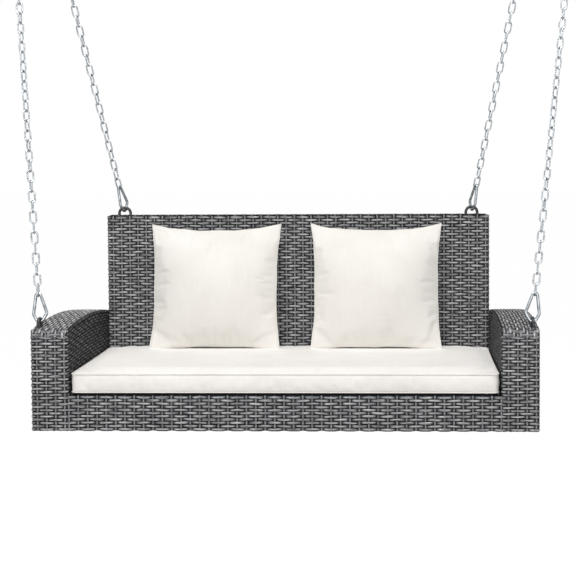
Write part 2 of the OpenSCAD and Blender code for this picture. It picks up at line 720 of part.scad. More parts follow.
// A knife-edged pillow: two domed faces that meet at a rim with drawn-in sides
pillow_fill = 0.4;
function pillow_half(t, u, v) = t / 2 * pow(max(0, (1 - u * u) * (1 - v * v)), pillow_fill);
module pillow(w, h, t, draw, n) {
    side = 2 * n + 1;
    function spot(i, j, face) =
        let (u = spread(i, n), v = spread(j, n))
        [u * (w / 2 - draw * (1 - v * v)), face * pillow_half(t, u, v), v * (h / 2 - draw * (1 - u * u))];
    function inside(i, j) = abs(i) < n && abs(j) < n;
    function index(i, j, face) = face < 0 || !inside(i, j) ? (i + n) * side + j + n
        : side * side + (i + n - 1) * (side - 2) + j + n - 1;
    points = concat([for (i = [-n:n], j = [-n:n]) spot(i, j, -1)],
                    [for (i = [1 - n:n - 1], j = [1 - n:n - 1]) spot(i, j, 1)]);
    function face_set(face) = [
        for (i = [-n:n - 1], j = [-n:n - 1])
            let (a = index(i, j, face), b = index(i + 1, j, face),
                 c = index(i + 1, j + 1, face), d = index(i, j + 1, face))
            each (i * j >= 0 ? [[a, b, c], [a, c, d]] : [[a, b, d], [b, c, d]])
    ];
    polyhedron(points, concat([for (f = face_set(-1)) flip(f)], face_set(1)));
}

cushion_front_y = 3;
cushion_w = seat_w - 2 * cushion_gap;
cushion_d = seat_depth - cushion_gap - cushion_front_y;
cushion_mid = [0, cushion_front_y + cushion_d / 2, deck_h + soft_gap];
cushion_top_z = cushion_mid[2] + cushion_t + cushion_crown;
module seat_cushion_cover() {
    color(FABRIC) translate(cushion_mid) difference() {
        boxed_cushion(cushion_w, cushion_d, cushion_t, cushion_crown, cushion_draw, 10, 6);
        foam_core(0);
    }
}
module foam_core(gap) {
    in = cover_t + gap;
    translate([in - cushion_w / 2, in - cushion_d / 2, cover_t / 2 + gap])
        cube([cushion_w - 2 * in, cushion_d - 2 * in, cushion_t - cover_t - 2 * gap]);
}
module seat_cushion_foam() { color("khaki") translate(cushion_mid) foam_core(soft_gap); }

// How far a leaning pillow reaches behind and below its middle
function lean_reach(dy, dz) = max([for (k = [-40:40], face = [-1, 1])
    let (v = k / 40, y = face * pillow_half(pillow_t, 0, v), z = v * pillow_h / 2)
    dy * (y * cos(pillow_lean) + z * sin(pillow_lean)) + dz * (z * cos(pillow_lean) - y * sin(pillow_lean))]);
pillow_mid = [pillow_x, seat_depth - soft_gap - lean_reach(1, 0), cushion_top_z + soft_gap + lean_reach(0, -1)];
module leaning(side) { translate([side * pillow_mid[0], pillow_mid[1], pillow_mid[2]]) rotate([-pillow_lean, 0, 0]) children(); }
module pillow_inner(gap) {
    in = cover_t + gap;
    pillow(pillow_w - 2 * in, pillow_h - 2 * in, pillow_t - 2 * in, pillow_draw, 4);
}
module pillow_cover(side) {
    color(FABRIC) leaning(side) difference() {
        pillow(pillow_w, pillow_h, pillow_t, pillow_draw, 8);
        pillow_inner(0);
    }
}
module pillow_insert(side) { color("ghostwhite") leaning(side) pillow_inner(soft_gap); }

hang() on_side(LEFT) hanger(front_hanger_x);  // hanger_front_left
hang() on_side(RIGHT) hanger(front_hanger_x);  // hanger_front_right
hang() on_side(LEFT) hanger(rear_hanger_x);  // hanger_rear_left
hang() on_side(RIGHT) hanger(rear_hanger_x);  // hanger_rear_right
hang() upper_end(false, LEFT) hook_body();  // upper_hook_front_left
hang() upper_end(false, RIGHT) hook_body();  // upper_hook_front_right
hang() upper_end(true, LEFT) hook_body();  // upper_hook_rear_left
hang() upper_end(true, RIGHT) hook_body();  // upper_hook_rear_right
hang() upper_end(false, LEFT) hook_gate();  // upper_gate_front_left
hang() upper_end(false, RIGHT) hook_gate();  // upper_gate_front_right
hang() upper_end(true, LEFT) hook_gate();  // upper_gate_rear_left
hang() upper_end(true, RIGHT) hook_gate();  // upper_gate_rear_right
hang() lower_end(false, LEFT) hook_body();  // lower_hook_front_left
hang() lower_end(false, RIGHT) hook_body();  // lower_hook_front_right
hang() lower_end(true, LEFT) hook_body();  // lower_hook_rear_left
hang() lower_end(true, RIGHT) hook_body();  // lower_hook_rear_right
hang() lower_end(false, LEFT) hook_gate();  // lower_gate_front_left
hang() lower_end(false, RIGHT) hook_gate();  // lower_gate_front_right
hang() lower_end(true, LEFT) hook_gate();  // lower_gate_rear_left
hang() lower_end(true, RIGHT) hook_gate();  // lower_gate_rear_right
hang() gate_pins();
hang() chain(false, LEFT);  // chain_front_left
hang() chain(false, RIGHT);  // chain_front_right
hang() chain(true, LEFT);  // chain_rear_left
hang() chain(true, RIGHT);  // chain_rear_right
hang() on_side(LEFT) arm_loop();  // arm_loop_left
hang() on_side(LEFT) back_loop();  // back_loop_left
hang() arm_frame(LEFT);  // arm_frame_left
hang() on_side(LEFT) arm_wicker();  // arm_wicker_left
hang() on_side(RIGHT) arm_loop();  // arm_loop_right
hang() on_side(RIGHT) back_loop();  // back_loop_right
hang() arm_frame(RIGHT);  // arm_frame_right
hang() on_side(RIGHT) arm_wicker();  // arm_wicker_right
hang() back_frame();
hang() seat_frame();
hang() back_wicker();
hang() seat_deck_wicker();
hang() front_apron_wicker();
hang() seat_to_arm_bolts();
hang() seat_to_back_bolts();
hang() joining_plates();
hang() joining_plate_bolts();
hang() bolt_washers();
hang() threaded_inserts();
hang() seat_cushion_cover();
hang() seat_cushion_foam();
hang() pillow_cover(LEFT);  // pillow_cover_left
hang() pillow_insert(LEFT);  // pillow_insert_left
hang() pillow_cover(RIGHT);  // pillow_cover_right
hang() pillow_insert(RIGHT);  // pillow_insert_right
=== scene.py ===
# %% [markdown]
# # A porch swing seat
# The swing is a woven seat on steel frames, hung on four chains. The steel
# parts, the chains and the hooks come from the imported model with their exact
# shapes. This script adds what the hand and the eye notice first: the woven
# strands, the cushions with their seams, and the finishes.

# %% Load the frame
import json
import math

import bpy
from mathutils import Matrix, Vector, noise


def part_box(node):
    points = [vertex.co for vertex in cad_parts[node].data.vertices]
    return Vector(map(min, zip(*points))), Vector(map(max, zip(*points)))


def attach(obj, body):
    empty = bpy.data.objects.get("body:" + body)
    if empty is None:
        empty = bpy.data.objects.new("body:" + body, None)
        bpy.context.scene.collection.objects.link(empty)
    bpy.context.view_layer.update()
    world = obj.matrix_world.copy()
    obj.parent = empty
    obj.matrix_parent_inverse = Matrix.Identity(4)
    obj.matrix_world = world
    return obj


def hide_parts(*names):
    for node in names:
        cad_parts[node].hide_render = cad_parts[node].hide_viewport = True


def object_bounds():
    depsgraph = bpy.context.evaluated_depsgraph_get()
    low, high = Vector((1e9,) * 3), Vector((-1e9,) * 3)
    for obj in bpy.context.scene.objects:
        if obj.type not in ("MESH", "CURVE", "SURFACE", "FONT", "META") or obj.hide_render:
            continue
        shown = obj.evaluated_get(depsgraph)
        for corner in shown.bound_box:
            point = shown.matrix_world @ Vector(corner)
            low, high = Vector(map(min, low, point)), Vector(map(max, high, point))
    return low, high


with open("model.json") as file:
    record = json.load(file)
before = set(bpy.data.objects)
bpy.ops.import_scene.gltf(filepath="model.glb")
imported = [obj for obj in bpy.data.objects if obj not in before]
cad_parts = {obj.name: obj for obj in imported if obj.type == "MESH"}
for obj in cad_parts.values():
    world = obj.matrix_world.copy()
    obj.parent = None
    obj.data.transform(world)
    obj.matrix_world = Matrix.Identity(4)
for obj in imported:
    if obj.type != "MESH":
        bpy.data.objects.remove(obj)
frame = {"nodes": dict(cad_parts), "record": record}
cad_box = [[float(v) for v in corner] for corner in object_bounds()]
MM = 0.001
arm_low, arm_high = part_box("arm_wicker_right")
back_low, back_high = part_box("back_wicker")
deck_low, deck_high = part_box("seat_deck_wicker")
apron_low, apron_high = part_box("front_apron_wicker")
cushion_low, cushion_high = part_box("seat_cushion_cover")
print("right arm", [round(v, 4) for v in arm_low], "to", [round(v, 4) for v in arm_high])

# %% [markdown]
# ## Helpers
# Every colour is written as the sRGB hex value that a paint chart would give,
# and turned to the linear numbers in which light is mixed. Materials and the
# weave are both trees of nodes, so one function adds any node to any tree,
# sets its fields, and fills or links its inputs.

# %% Colour, nodes and objects
MATHS = "ShaderNodeMath"
VECTORS = "ShaderNodeVectorMath"
MAP = "ShaderNodeMapRange"          # inputs: value, from low, from high, to low, to high
STORE = "GeometryNodeStoreNamedAttribute"
WHITE = (1, 1, 1, 1)


def linear(hex_colour):
    """An sRGB hex colour as linear RGBA."""
    parts = [int(hex_colour[i:i + 2], 16) / 255 for i in (1, 3, 5)]
    return [p / 12.92 if p <= 0.04045 else ((p + 0.055) / 1.055) ** 2.4 for p in parts] + [1.0]


def add_node(tree, kind, *feeds, **settings):
    """Adds a node. Feeds fill its inputs in order; a capital names an input, a small letter a field."""
    node = tree.nodes.new(kind)
    inputs = dict(enumerate(feeds))
    for key, value in settings.items():
        if key[0].isupper():
            inputs[key.replace("_", " ")] = value
        else:
            setattr(node, key, value)
    for place, value in inputs.items():
        if isinstance(value, bpy.types.Node):
            value = value.outputs[0]
        if isinstance(value, bpy.types.NodeSocket):
            tree.links.new(value, node.inputs[place])
        else:
            node.inputs[place].default_value = value
    return node


def new_material(name):
    """A material with an empty node tree."""
    material = bpy.data.materials.new(name)
    material.use_nodes = True
    material.node_tree.nodes.clear()
    return material, material.node_tree


def add_object(name, data):
    """A new object in the scene."""
    piece = bpy.data.objects.new(name, data)
    bpy.context.scene.collection.objects.link(piece)
    return piece


print("half-bright grey is", round(linear("#808080")[0], 3), "of white's light")

# %% [markdown]
# ## Camera
# The eye stands in front of the seat, a little to the right of its middle
# and above the hooks of the backrest, and looks almost level. A long lens keeps
# the arms from flaring. A camera that is simply aimed down makes upright edges
# lean, so the lens is shifted instead, as on a view camera: the uprights stay
# upright while the seat sits low in the frame.

# %% Camera
EYE = Vector((0.29336, -3.72533, -0.56792))
TURN, TILT, ROLL = math.radians(-2), math.radians(3), 0.005
camera_data = bpy.data.cameras.new("camera")
camera_data.lens = 86.38
camera_data.sensor_width = 36
camera_data.shift_x = -0.1130
camera_data.shift_y = -0.1120
camera = add_object("camera", camera_data)
bpy.context.scene.camera = camera
ahead = Vector((math.sin(TURN) * math.cos(TILT), math.cos(TURN) * math.cos(TILT), -math.sin(TILT)))
above = Vector((math.sin(TURN) * math.sin(TILT), math.cos(TURN) * math.sin(TILT), math.cos(TILT)))
right = ahead.cross(above)
right_rolled = right * math.cos(ROLL) - above * math.sin(ROLL)
above_rolled = above * math.cos(ROLL) + right * math.sin(ROLL)
axes = Matrix((right_rolled, above_rolled, -ahead)).transposed().to_4x4()
camera.matrix_world = Matrix.Translation(EYE) @ axes
print("camera", round(-EYE.y, 2), "m in front, lens", camera_data.lens)

# %% [markdown]
# ## Floor, world and lamps
# A white room with broad lamps is how such furniture is shown. A plain white
# world would do for the background, but it lights the weave from all sides and
# takes its depth away. So what the camera and the metal see of the floor and
# the world is white, while the light that falls on the seat has its own level.

# %% Floor and world
FLOOR_DROP = 0.62         # from the seat's underside down to the floor
FLOOR_REACH = 40
FLOOR_GLOW = 1.02
FLOOR_GLOW_SHARE = 0.97   # the rest is the lit floor, which keeps a breath of shadow
ROOM_LIGHT = 0.08


def white_for_the_eye(tree, lit, glow, share):
    """Mixes a share of a glow over a lit shader, for camera, glossy and transmission rays only."""
    rays = add_node(tree, "ShaderNodeLightPath").outputs
    seen = add_node(tree, MATHS, rays["Is Camera Ray"], rays["Is Glossy Ray"], operation="MAXIMUM")
    seen = add_node(tree, MATHS, seen, rays["Is Transmission Ray"], operation="MAXIMUM")
    seen = add_node(tree, MATHS, seen, share, operation="MULTIPLY")
    return add_node(tree, "ShaderNodeMixShader", seen, lit, glow)


floor_z = cad_box[0][2] - FLOOR_DROP
corners = [(x, y, floor_z) for x, y in ((-1, -1), (1, -1), (1, 1), (-1, 1))]
floor_mesh = bpy.data.meshes.new("floor")
floor_mesh.from_pydata([(x * FLOOR_REACH, y * FLOOR_REACH, z) for x, y, z in corners], [], [(0, 1, 2, 3)])
floor = add_object("floor", floor_mesh)
floor_material, tree = new_material("pale_matt_floor")
lit = add_node(tree, "ShaderNodeBsdfPrincipled", Base_Color=linear("#C8C8C8"), Roughness=0.9)
glow = add_node(tree, "ShaderNodeEmission", Color=WHITE, Strength=FLOOR_GLOW)
add_node(tree, "ShaderNodeOutputMaterial", white_for_the_eye(tree, lit, glow, FLOOR_GLOW_SHARE))
floor_mesh.materials.append(floor_material)

world = bpy.data.worlds.new("white_room")
bpy.context.scene.world = world
world.use_nodes = True
tree = world.node_tree
tree.nodes.clear()
lit = add_node(tree, "ShaderNodeBackground", Color=WHITE, Strength=ROOM_LIGHT)
glow = add_node(tree, "ShaderNodeBackground", Color=WHITE, Strength=1.0)
add_node(tree, "ShaderNodeOutputWorld", white_for_the_eye(tree, lit, glow, 1.0))
bpy.context.scene.view_settings.view_transform = "Standard"
print("floor at", round(floor_z, 3))

# %% Lamps
# name, place, side of the square and power in watts
LAMPS = (("lamp_front", (0.0, -9.0, 0.6), 5.0, 385),
         ("lamp_above", (-0.1, -2.0, 3.6), 2.0, 235),
         ("lamp_behind", (-1.5, 3.4, 0.6), 2.2, 62))
seat_middle = Vector((0, 0, (arm_low.z + back_high.z) / 2))
for name, place, side, watts in LAMPS:
    data = bpy.data.lights.new(name, "AREA")
    data.size = side
    data.energy = watts
    lamp = add_object(name, data)
    lamp.location = place
    lamp.rotation_mode = "QUATERNION"
    lamp.rotation_quaternion = (seat_middle - Vector(place)).to_track_quat("-Z", "Y")
print(len(LAMPS), "lamps aimed at", [round(v, 3) for v in seat_middle])

# %% [markdown]
# ## Resin strand
# The weave is flat-round resin strand, extruded over a cord core and coloured
# in two greys that run along it in streaks. It is matt plastic. Painted shade
# darkens its edges, its stretches under the stakes and the arms' inner sides.
# A noise in the room's own coordinates would run straight through all strands
# alike. So each strand carries values of its own: how far along it a point is,
# how far round its section, which row it belongs to and how high it lies. The
# finish reads these, and its streaks follow each strand round corners and under the stakes.

# %% Resin strand finish
STREAK = 26.316 * MM            # length of a streak
FINE_STREAK = 6.6667 * MM
FINE_SHARE = 0.3                # of the fine streaks in the mottle
UNDER_STAKE_SHADE = 0.1                    # painted shade: brightness left where a strand dives under a stake
INNER_SIDE_SHADE = 0.42               # painted shade: brightness left on the arms' inner sides
STREAK_RELIEF = 0.4 * MM


def resin_strand(name, dark, mid, light, flank_painted_shade):
    """Mottled two-tone resin strand, with painted shade on its flanks down to the given brightness."""
    material, tree = new_material(name)
    along, across, row, lift, inner = (
        add_node(tree, "ShaderNodeAttribute", attribute_name=key).outputs["Fac"]
        for key in ("along", "across", "row", "lift", "inner"))
    place = add_node(tree, "ShaderNodeCombineXYZ", along, across, row)
    # streaks are long along the strand and a fraction of it wide, and differ from row to row
    broad_place = add_node(tree, VECTORS, place, (1 / STREAK, 3.2, 7.3), operation="MULTIPLY")
    broad = add_node(tree, "ShaderNodeTexNoise", Vector=broad_place, Scale=1.0, Detail=3.0, Roughness=0.62)
    fine_place = add_node(tree, VECTORS, place, (1 / FINE_STREAK, 22, 11.7), operation="MULTIPLY")
    fine = add_node(tree, "ShaderNodeTexNoise", Vector=fine_place, Scale=1.0, Detail=2.0, Roughness=0.5)
    mottle = add_node(tree, MATHS, fine, FINE_SHARE, broad, operation="MULTIPLY_ADD")
    # noise keeps near its middle, so that part of it is stretched over all the tones
    mottle = add_node(tree, MAP, mottle, 0.41, 0.89, 0, 1)
    tones = add_node(tree, "ShaderNodeValToRGB", mottle)
    stops = tones.color_ramp.elements
    stops.new(0.45)
    for stop, colour in zip(stops, (dark, mid, light)):
        stop.color = linear(colour)
    # painted shade: the flanks of the strand, where across runs to 0 and 1, are darkened as if in the grooves
    # between rows
    flank = add_node(tree, MATHS, across, 0.5, operation="PINGPONG")
    painted_shade = add_node(tree, MAP, flank, 0.15, 0.25, flank_painted_shade, 1.0)
    # painted shade also darkens the stretches that go under a stake
    dive = add_node(tree, MAP, lift, 0.3, 0.95, UNDER_STAKE_SHADE, 1.0)
    painted_shade = add_node(tree, MATHS, painted_shade, dive, operation="MULTIPLY")
    # painted shade darkens the arms' inner sides
    inner_shade = add_node(tree, MAP, inner, 0, 1, 1.0, INNER_SIDE_SHADE)
    painted_shade = add_node(tree, MATHS, painted_shade, inner_shade, operation="MULTIPLY")
    shaded = add_node(tree, VECTORS, tones, painted_shade, operation="MULTIPLY")
    relief = add_node(tree, "ShaderNodeBump", Height=fine, Distance=STREAK_RELIEF, Strength=0.5)
    shader = add_node(tree, "ShaderNodeBsdfPrincipled", Base_Color=shaded, Normal=relief,
                      Roughness=add_node(tree, MAP, fine, 0.3, 0.7, 0.6, 0.75),
                      IOR=1.5, Specular_IOR_Level=0.06)
    add_node(tree, "ShaderNodeOutputMaterial", shader)
    return material


# the last number is the brightness that painted shade leaves on the strand's flanks
strand_finish = resin_strand("mottled_resin_strand", "#2A2A2C", "#858587", "#DEDEDF", 0.02)
stake_finish = resin_strand("resin_stake", "#3E3E40", "#78787A", "#AAAAAC", 0.2)
print("finishes", strand_finish.name, "and", stake_finish.name)

# %% [markdown]
# ## Woven skin
# A plain weave has stakes that stand across the work and rows that pass over
# one stake and under the next, with the next row the other way about. It could
# be a bump pattern on a smooth box, but then the edges would show no strands
# and the light would find no gaps. Here a node tree really weaves it. It bends
# one row in and out in step with the stakes, sweeps a section along it and
# repeats it side by side, every second one in the opposite step. The path of a
# row is any polyline, so one tree weaves closed boxes, panels and strips.

# %% Section of a strand
# corners of the section as shares of its height and its width, anticlockwise
DOME = ((-0.45, -0.5), (-0.45, 0.5), (0.27, 0.37), (0.55, 0.16), (0.55, -0.16), (0.27, -0.37))


def strand_section(tree, width, height):
    """A domed section with a wide foot, crown towards +X; across runs 0 to 1 over its width."""
    ring = add_node(tree, "GeometryNodeCurvePrimitiveCircle", mode="RADIUS", Resolution=len(DOME), Radius=1.0)
    number = add_node(tree, "GeometryNodeInputIndex")
    shares = []
    for values in zip(*DOME):
        # each point of the ring picks the value of its own number
        picker = add_node(tree, "GeometryNodeIndexSwitch", number, data_type="FLOAT")
        while len(picker.index_switch_items) < len(values):
            picker.index_switch_items.new()
        for place, value in enumerate(values):
            picker.inputs[place + 1].default_value = value
        shares.append(picker)
    x = add_node(tree, MATHS, shares[0], height, operation="MULTIPLY")
    y = add_node(tree, MATHS, shares[1], width, operation="MULTIPLY")
    corner = add_node(tree, "ShaderNodeCombineXYZ", x, y)
    shaped = add_node(tree, "GeometryNodeSetPosition", Geometry=ring, Position=corner)
    across = add_node(tree, MATHS, shares[1], 0.5, operation="ADD")
    return add_node(tree, STORE, Geometry=shaped, Name="across", Value=across)


print("section with", len(DOME), "corners")

# %% [markdown]
# ### Rows
# Resin strand is stiff: it stays outside over most of its way and dips shortly
# under every second stake. A plain cosine would wave too evenly, so its power is
# taken, which shortens the dips.

# %% Rows
STEPS = 4                 # points between one stake and the next
SHORT_DIP = 3.5           # the power that shortens the dips
ROW_JITTER = 0.5 * MM     # no two strands are equally thick, so rows lie a hair off their places


def bent_row(tree, given, path, outward, sign):
    """One row along the path; it starts outside the first stake for a sign of 1, inside it for -1."""
    index = add_node(tree, "GeometryNodeInputIndex")
    phase = add_node(tree, MATHS, index, math.pi / STEPS, operation="MULTIPLY")
    wave = add_node(tree, MATHS, phase, operation="COSINE")
    dip = add_node(tree, MATHS, wave, -0.5 * sign, 0.5, operation="MULTIPLY_ADD")
    dip = add_node(tree, MATHS, dip, SHORT_DIP, operation="POWER")
    # from 1 outside to -1 inside
    level = add_node(tree, MATHS, dip, -2, 1, operation="MULTIPLY_ADD")
    distance = add_node(tree, MATHS, level, given["Sway"], operation="MULTIPLY")
    offset = add_node(tree, VECTORS, outward, operation="SCALE", Scale=distance)
    row = add_node(tree, "GeometryNodeSetPosition", Geometry=path, Offset=offset)
    length = add_node(tree, "GeometryNodeSplineParameter").outputs["Length"]
    lift = add_node(tree, MATHS, level, 0.5, 0.5, operation="MULTIPLY_ADD")
    for name, value in (("along", length), ("lift", lift)):
        row = add_node(tree, STORE, Geometry=row, Name=name, Value=value)
    row = add_node(tree, "GeometryNodeSetCurveNormal", mode="FREE", Curve=row, Normal=outward)
    section = strand_section(tree, given["Strand width"], given["Strand height"])
    return add_node(tree, "GeometryNodeCurveToMesh", Curve=row, Profile_Curve=section, Fill_Caps=True)


def every_second_row(tree, given, row, first):
    """The row repeated at every second place across the work, from place number first."""
    count = add_node(tree, MATHS, given["Rows"], 1 - first, operation="ADD")
    count = add_node(tree, MATHS, count, 2, operation="DIVIDE")
    count = add_node(tree, MATHS, count, operation="FLOOR")
    start, spacing = (
        add_node(tree, VECTORS, given["Across"], operation="SCALE",
                 Scale=add_node(tree, MATHS, given["Row pitch"], pitches, operation="MULTIPLY"))
        for pitches in (first + 0.5, 2))
    line = add_node(tree, "GeometryNodeMeshLine", Count=count, Start_Location=start, Offset=spacing)
    jitter = add_node(tree, "FunctionNodeRandomValue", data_type="FLOAT", Seed=given["Seed"])
    jitter.inputs[2].default_value = -ROW_JITTER
    jitter.inputs[3].default_value = ROW_JITTER
    nudge = add_node(tree, VECTORS, given["Across"], operation="SCALE", Scale=jitter.outputs[1])
    line = add_node(tree, "GeometryNodeSetPosition", Geometry=line, Offset=nudge)
    placed = add_node(tree, "GeometryNodeInstanceOnPoints", Points=line, Instance=row)
    index = add_node(tree, "GeometryNodeInputIndex")
    number = add_node(tree, MATHS, index, 2, first, operation="MULTIPLY_ADD")
    return add_node(tree, STORE, domain="INSTANCE", Geometry=placed, Name="row", Value=number)


print("rows bend at", STEPS, "points for each stake")

# %% [markdown]
# ### Stakes
# A stake is a thinner strand across the rows. The rows press it in where they
# pass outside and let it out where they pass inside, so it has a point at the
# middle of each row, bowed the other way than the row, and one at each edge.
# A straight stake would need no such points but would cut through the rows.

# %% Stakes
STAKE_BOW = 0.45          # share of the rows' sway


def bowed_stake(tree, given, sign):
    """One stake as a curve; bow says how far each of its points will be pushed outwards."""
    index = add_node(tree, "GeometryNodeInputIndex")
    count = add_node(tree, MATHS, given["Rows"], 2, operation="ADD")
    line = add_node(tree, "GeometryNodeMeshLine", Count=count)
    level = add_node(tree, MATHS, index, 0.5, operation="SUBTRACT")
    level = add_node(tree, MATHS, level, 0, operation="MAXIMUM")
    level = add_node(tree, MATHS, level, given["Rows"], operation="MINIMUM")
    step = add_node(tree, VECTORS, given["Across"], operation="SCALE", Scale=given["Row pitch"])
    spot = add_node(tree, VECTORS, step, operation="SCALE", Scale=level)
    line = add_node(tree, "GeometryNodeSetPosition", Geometry=line, Position=spot)
    strand = add_node(tree, "GeometryNodeMeshToCurve", Mesh=line)
    phase = add_node(tree, MATHS, index, math.pi, operation="MULTIPLY")
    wave = add_node(tree, MATHS, phase, operation="COSINE")
    bow = add_node(tree, MATHS, wave, given["Sway"], operation="MULTIPLY")
    bow = add_node(tree, MATHS, bow, STAKE_BOW * sign, operation="MULTIPLY")
    length = add_node(tree, "GeometryNodeSplineParameter").outputs["Length"]
    for name, value in (("bow", bow), ("lift", 1.0), ("along", length)):
        strand = add_node(tree, STORE, Geometry=strand, Name=name, Value=value)
    return strand


def standing_stakes(tree, given, path):
    """A stake at each place along the path, swept and finished."""
    index = add_node(tree, "GeometryNodeInputIndex")
    posts = add_node(tree, "GeometryNodeCurveToPoints", mode="EVALUATED", Curve=path)
    outward = add_node(tree, VECTORS, posts.outputs["Tangent"], given["Across"], operation="CROSS_PRODUCT")
    outward = add_node(tree, VECTORS, outward, operation="NORMALIZE")
    posts = add_node(tree, STORE, data_type="FLOAT_VECTOR", Geometry=posts, Name="facing", Value=outward)
    stakes = add_node(tree, "GeometryNodeJoinGeometry")
    for sign, rest in ((1, 0), (-1, 1)):
        place = add_node(tree, MATHS, index, 2 * STEPS, operation="MODULO")
        chosen = add_node(tree, MATHS, place, rest * STEPS, 0.5, operation="COMPARE")
        placed = add_node(tree, "GeometryNodeInstanceOnPoints", Points=posts, Selection=chosen,
                          Instance=bowed_stake(tree, given, sign))
        # numbered apart from the rows, so that the stakes get streaks of their own
        number = add_node(tree, MATHS, index, 1.7, 31.0 + sign, operation="MULTIPLY_ADD")
        placed = add_node(tree, STORE, domain="INSTANCE", Geometry=placed, Name="row", Value=number)
        tree.links.new(placed.outputs[0], stakes.inputs[0])
    stakes = add_node(tree, "GeometryNodeRealizeInstances", stakes)
    facing = add_node(tree, "GeometryNodeInputNamedAttribute", data_type="FLOAT_VECTOR", Name="facing")
    bow = add_node(tree, "GeometryNodeInputNamedAttribute", data_type="FLOAT", Name="bow")
    push = add_node(tree, VECTORS, facing, operation="SCALE", Scale=bow)
    stakes = add_node(tree, "GeometryNodeSetPosition", Geometry=stakes, Offset=push)
    stakes = add_node(tree, "GeometryNodeSetCurveNormal", mode="FREE", Curve=stakes, Normal=facing)
    section = strand_section(tree, given["Stake width"], given["Stake height"])
    stakes = add_node(tree, "GeometryNodeCurveToMesh", Curve=stakes, Profile_Curve=section, Fill_Caps=True)
    return add_node(tree, "GeometryNodeSetMaterial", Geometry=stakes, Material=given["Stake finish"])


print("stakes bow by", STAKE_BOW, "of the rows' sway")

# %% [markdown]
# ### The whole weave
# The tree has named inputs for its sizes, its finishes and its seed, so the
# same one is used for every skin. At the end the rows wander a little up and
# down, as hand-laid rows do, which straight instances alone would not show.

# %% Weave tree
WANDERS_PER_METRE = 22
WANDER = 3 * MM           # of a noise from 0 to 1 that stays mostly near its middle: about 0.5 mm each way
WEAVE_INPUTS = (("Geometry", "Geometry"), ("Rows", "Int"), ("Stakes", "Int"), ("Row pitch", "Float"),
                ("Across", "Vector"), ("Closed", "Bool"), ("Strand width", "Float"),
                ("Strand height", "Float"), ("Stake width", "Float"), ("Stake height", "Float"),
                ("Sway", "Float"), ("Seed", "Int"), ("Strand finish", "Material"),
                ("Stake finish", "Material"))


def weave_tree():
    """Rows along a path, and stakes across them."""
    tree = bpy.data.node_groups.new("plain weave", "GeometryNodeTree")
    for name, kind in WEAVE_INPUTS:
        tree.interface.new_socket(name, in_out="INPUT", socket_type="NodeSocket" + kind)
    tree.interface.new_socket("Geometry", in_out="OUTPUT", socket_type="NodeSocketGeometry")
    given = add_node(tree, "NodeGroupInput").outputs
    path = add_node(tree, "GeometryNodeMeshToCurve", Mesh=given["Geometry"])
    # one point more on an open path, so that both its ends lie on a stake
    open_end = add_node(tree, MATHS, 1, given["Closed"], operation="SUBTRACT")
    count = add_node(tree, MATHS, given["Stakes"], STEPS, open_end, operation="MULTIPLY_ADD")
    path = add_node(tree, "GeometryNodeResampleCurve", Curve=path, Count=count)
    tangent = add_node(tree, "GeometryNodeInputTangent")
    outward = add_node(tree, VECTORS, tangent, given["Across"], operation="CROSS_PRODUCT")
    outward = add_node(tree, VECTORS, outward, operation="NORMALIZE")

    rows = add_node(tree, "GeometryNodeJoinGeometry")
    for sign, first in ((1, 0), (-1, 1)):
        row = bent_row(tree, given, path, outward, sign)
        repeated = every_second_row(tree, given, row, first)
        tree.links.new(repeated.outputs[0], rows.inputs[0])
    rows = add_node(tree, "GeometryNodeRealizeInstances", rows)
    rows = add_node(tree, "GeometryNodeSetMaterial", Geometry=rows, Material=given["Strand finish"])
    both = add_node(tree, "GeometryNodeJoinGeometry")
    for part in (rows, standing_stakes(tree, given, path)):
        tree.links.new(part.outputs[0], both.inputs[0])

    where = add_node(tree, "GeometryNodeInputPosition")
    wander = add_node(tree, "ShaderNodeTexNoise", Vector=where, Scale=WANDERS_PER_METRE, Detail=1.0)
    wander = add_node(tree, MATHS, wander, 0.5, operation="SUBTRACT")
    wander = add_node(tree, MATHS, wander, WANDER, operation="MULTIPLY")
    shift = add_node(tree, VECTORS, given["Across"], operation="SCALE", Scale=wander)
    skin = add_node(tree, "GeometryNodeSetPosition", Geometry=both, Offset=shift)
    # a curve swept along a free normal comes out with its faces inwards
    skin = add_node(tree, "GeometryNodeFlipFaces", Mesh=skin)
    skin = add_node(tree, "GeometryNodeSetShadeSmooth", Geometry=skin)
    add_node(tree, "NodeGroupOutput", Geometry=skin)
    return tree


weave = weave_tree()
print("weave tree of", len(weave.nodes), "nodes")

# %% [markdown]
# ### Weaving a strip
# A strip is woven from a polyline with the tree as a modifier. The numbers of
# rows and stakes are rounded from the strip's own size, so that no strand is
# cut at an edge. The result is then taken as a plain mesh.

# %% Weave one strip
STAKE_PITCH = 23.4 * MM
ROW_PITCH = 8.1 * MM
SKIN = 2.2 * MM           # depth of the stakes' middle below the outer face
WEAVE_SIZES = {"Strand width": 8.5 * MM, "Strand height": 2.1 * MM, "Stake width": 6.6 * MM,
               "Stake height": 1.3 * MM, "Sway": 1.25 * MM}
X, Y, Z = Vector((1, 0, 0)), Vector((0, 1, 0)), Vector((0, 0, 1))


def socket_id(tree, name):
    """The identifier of a tree's input."""
    return next(item.identifier for item in tree.interface.items_tree
                if item.item_type == "SOCKET" and item.in_out == "INPUT" and item.name == name)


def evaluated_mesh(piece):
    """What the piece's modifiers or curve settings make of it, as a plain mesh."""
    return bpy.data.meshes.new_from_object(piece.evaluated_get(bpy.context.evaluated_depsgraph_get()))


